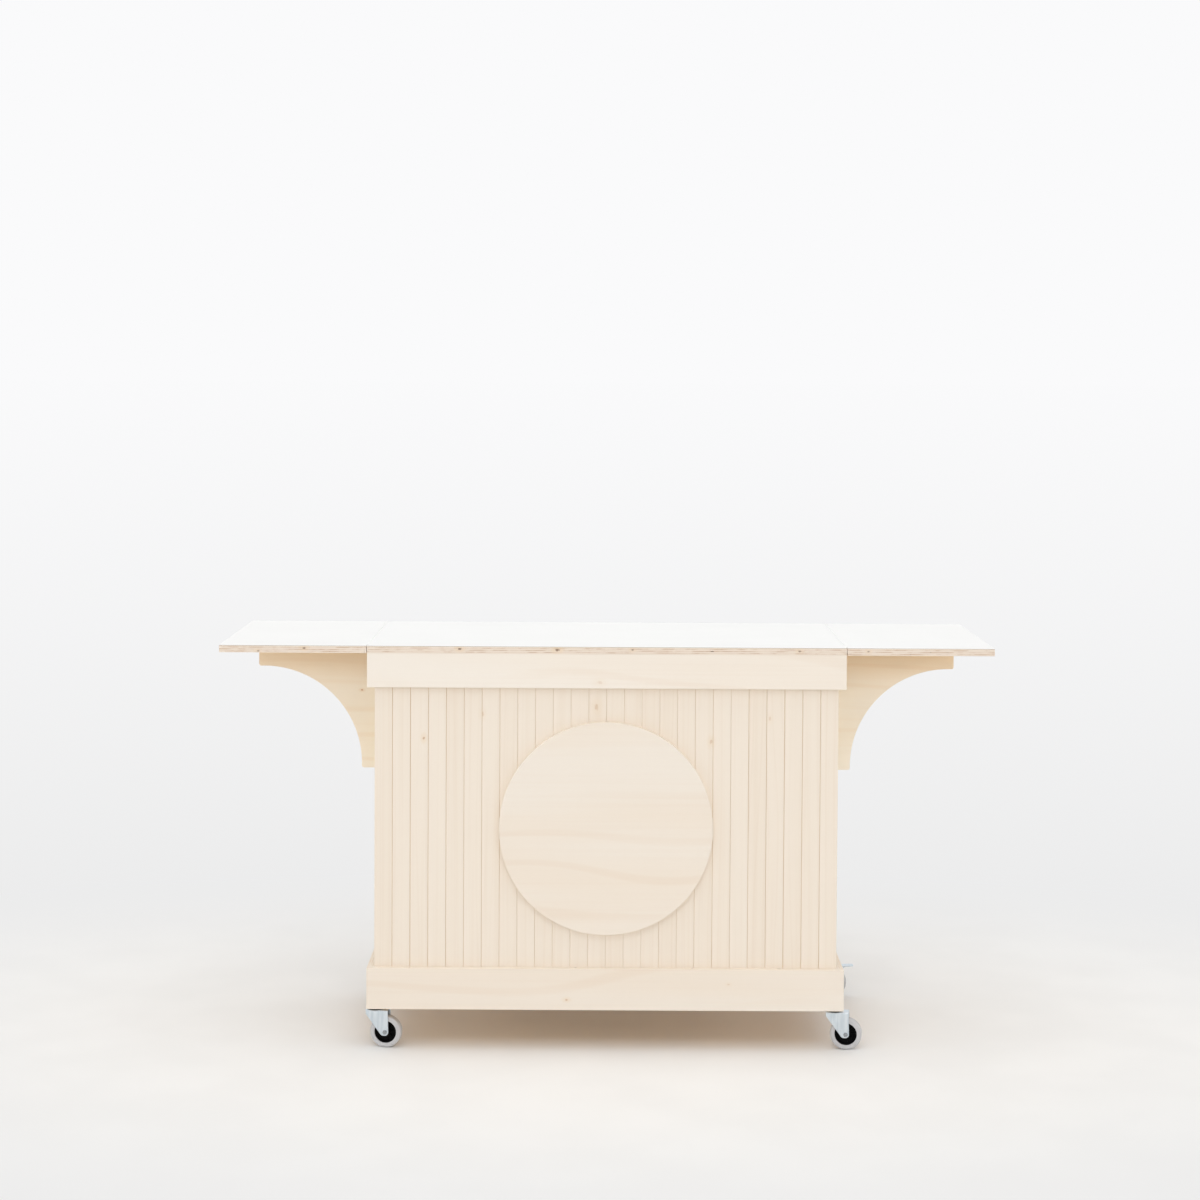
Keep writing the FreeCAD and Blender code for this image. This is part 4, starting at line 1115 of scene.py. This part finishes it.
def screwBoxes(node):
    # the box of each loose piece of a node, in a fixed order
    bm = bmesh.new()
    bm.from_mesh(cadNodes[node].data)
    bmesh.ops.remove_doubles(bm, verts=bm.verts, dist=screw["weld"])
    left, found = set(bm.verts), []
    while left:
        group, edge = set(), [left.pop()]
        while edge:
            vert = edge.pop()
            group.add(vert)
            others = {link.other_vert(vert) for link in vert.link_edges} & left
            left -= others
            edge += others
        places = np.array([v.co for v in group])
        found.append((places.min(0), places.max(0)))
    bm.free()
    return sorted(found, key=lambda box: tuple(box[0].round(4)))


head = addObject("oneScrew", screwHead())
screwTool, screwKeys = buildScrewTool(materials["brightSteel"])
screwPlaces = {"panelScrews": [], "battenScrews": []}
for low, high in screwBoxes("assembly_screws"):
    x, y, z = (low + high) / 2
    if high[1] - low[1] > high[2] - low[2]:
        screwPlaces["panelScrews"].append((x, high[1] - screw["thick"], z))
    else:
        screwPlaces["battenScrews"].append((x, y, low[2] + screw["thick"]))
screwTurns = {"panelScrews": (-pi / 2, 0, 0), "battenScrews": (pi, 0, 0)}
screwMeshes = []
for name, places in screwPlaces.items():
    spotMesh = bpy.data.meshes.new(name)
    spotMesh.from_pydata(places, [], [])
    holder = addObject(name + "Spots", spotMesh)
    screwMeshes.append(runTool(name, screwTool, screwKeys, {
        "Screw": head, "Spots": holder, "Turn": screwTurns[name]}))
    bpy.data.objects.remove(holder)
bpy.data.objects.remove(head)
mesh = joinMeshes("assemblyScrews", screwMeshes)
addPiece("assemblyScrews", mesh, materials["brightSteel"], "cart", "bright_steel", "assembly_screws")
print("screws set:", sum(len(places) for places in screwPlaces.values()))


# pieces whose own shape is right keep it and take their finish

for node, item in cadNodes.items():
    if "hinge" in node:
        finish = "hingeEnamel"
    elif node in ("castor_inserts", "shelf_pegs"):
        finish = "brightSteel"
    else:
        continue
    item.data.materials.clear()
    item.data.materials.append(materials[finish])


# stage: pale floor, white surroundings and soft light

stage = {
    "floorRadius": 300.0, "floorDrop": 0.0003, "floorSides": 96, "floorBlur": 0.9, "floorShine": 0.1,
    "floor": tint(246, 245, 243), "floorOther": tint(243, 242, 240), "speckScale": 3.0,
    "near": 0.75, "far": 1.9, "oval": (0.6, 1.0, 1.0),
    "backLow": tint(234, 234, 234), "backHigh": tint(250, 250, 251), "backStart": 1.0, "backSpread": 6.0,
    "skyBand": 2.2, "bandRise": (0.1, 0.2), "bandFall": (0.28, 0.45),
    "skyHigh": 0.66, "highRise": (0.35, 0.65),
    "topLight": 0.65, "topSoftness": 60, "topLean": 14, "topPlace": (0, 0, 6),
    "keyPower": 52.0, "keySize": (2.4, 1.6), "keyPlace": (-0.2, -6.0, 5.6), "keyTarget": (0.0, 0.0, 0.5),
}


def addLight(name, kind, place, turn, **settings):
    data = bpy.data.lights.new(name, kind)
    setAll(data, **settings)
    addObject(name, data).matrix_world = Matrix.Translation(place) @ turn


def addLights():
    # a wide, soft light from above, and a softbox above the front, a little to the left
    addLight("topLight", "SUN", stage["topPlace"], turned(stage["topLean"], "X"),
             energy=stage["topLight"], angle=radians(stage["topSoftness"]))
    aim = Vector(stage["keyTarget"]) - Vector(stage["keyPlace"])
    wide, high = stage["keySize"]
    addLight("keyLight", "AREA", stage["keyPlace"], aim.to_track_quat("-Z", "Y").to_matrix().to_4x4(),
             shape="RECTANGLE", size=wide, size_y=high, energy=stage["keyPower"])


def seenRays(tree):
    # camera, mirror and glass rays see the background colour, all others the light
    path = addNode(tree, "ShaderNodeLightPath")
    seen = calc(tree, "MAXIMUM", path["Is Camera Ray"], path["Is Glossy Ray"])
    return calc(tree, "MAXIMUM", seen, path["Is Transmission Ray"])


def mixShader(tree, factor, first, second):
    return addNode(tree, "ShaderNodeMixShader", {0: factor, 1: first, 2: second})[0]


def makeFloor():
    # lit near the cart, the background's colour further off, and clear from below
    bm = bmesh.new()
    bmesh.ops.create_circle(bm, cap_ends=True, segments=stage["floorSides"], radius=stage["floorRadius"],
                            matrix=Matrix.Translation((0, 0, -stage["floorDrop"])))
    material, tree, surface = newMaterial("studioFloor")
    space = objectSpace(tree)
    speck = ramp(tree, noise(tree, space, scale=stage["speckScale"]), *patchRange)
    setInputs(tree, surface.inputs, {
        "Base Color": mixColour(tree, speck, stage["floor"], stage["floorOther"]),
        "Roughness": stage["floorBlur"], "Specular IOR Level": stage["floorShine"]})
    away = vectorCalc(tree, "LENGTH", stretch(tree, space, stage["oval"]))["Value"]
    past = calc(tree, "SUBTRACT", away, stage["backStart"])
    share = calc(tree, "DIVIDE", past, calc(tree, "ADD", past, stage["backSpread"]))
    backColour = mixColour(tree, share, stage["backLow"], stage["backHigh"])
    glow = addNode(tree, "ShaderNodeEmission", {"Color": backColour, "Strength": 1.0})
    blend = times(tree, ramp(tree, away, stage["near"], stage["far"]), seenRays(tree))
    mixed = mixShader(tree, blend, surface.outputs[0], glow[0])
    fromBelow = addNode(tree, "ShaderNodeNewGeometry")["Backfacing"]
    whole = mixShader(tree, fromBelow, mixed, addNode(tree, "ShaderNodeBsdfTransparent")[0])
    tree.links.new(whole, tree.nodes["Material Output"].inputs["Surface"])
    mesh = toMesh(bm, "studioFloor")
    mesh.materials.append(material)
    floor = addObject("studioFloor", mesh)


def makeWorld():
    world = bpy.data.worlds.new("studioWorld")
    world.use_nodes = True
    scene.world = world
    tree = world.node_tree
    light = tree.nodes["Background"]
    light.inputs["Color"].default_value = (1, 1, 1, 1)
    height = split(tree, addNode(tree, "ShaderNodeTexCoord")["Generated"])["Z"]
    rise = ramp(tree, height, *stage["bandRise"], 0.0, stage["skyBand"])
    fall = ramp(tree, height, *stage["bandFall"], 1.0, 0.0)
    upper = ramp(tree, height, *stage["highRise"], 0.0, stage["skyHigh"])
    tree.links.new(calc(tree, "MULTIPLY_ADD", rise, fall, upper), light.inputs["Strength"])
    seen = addNode(tree, "ShaderNodeBackground", {"Color": stage["backHigh"], "Strength": 1.0})
    mixed = mixShader(tree, seenRays(tree), light.outputs[0], seen[0])
    tree.links.new(mixed, tree.nodes["World Output"].inputs["Surface"])


makeFloor()
makeWorld()
addLights()
scene.view_settings.view_transform = "Standard"
print("stage set")
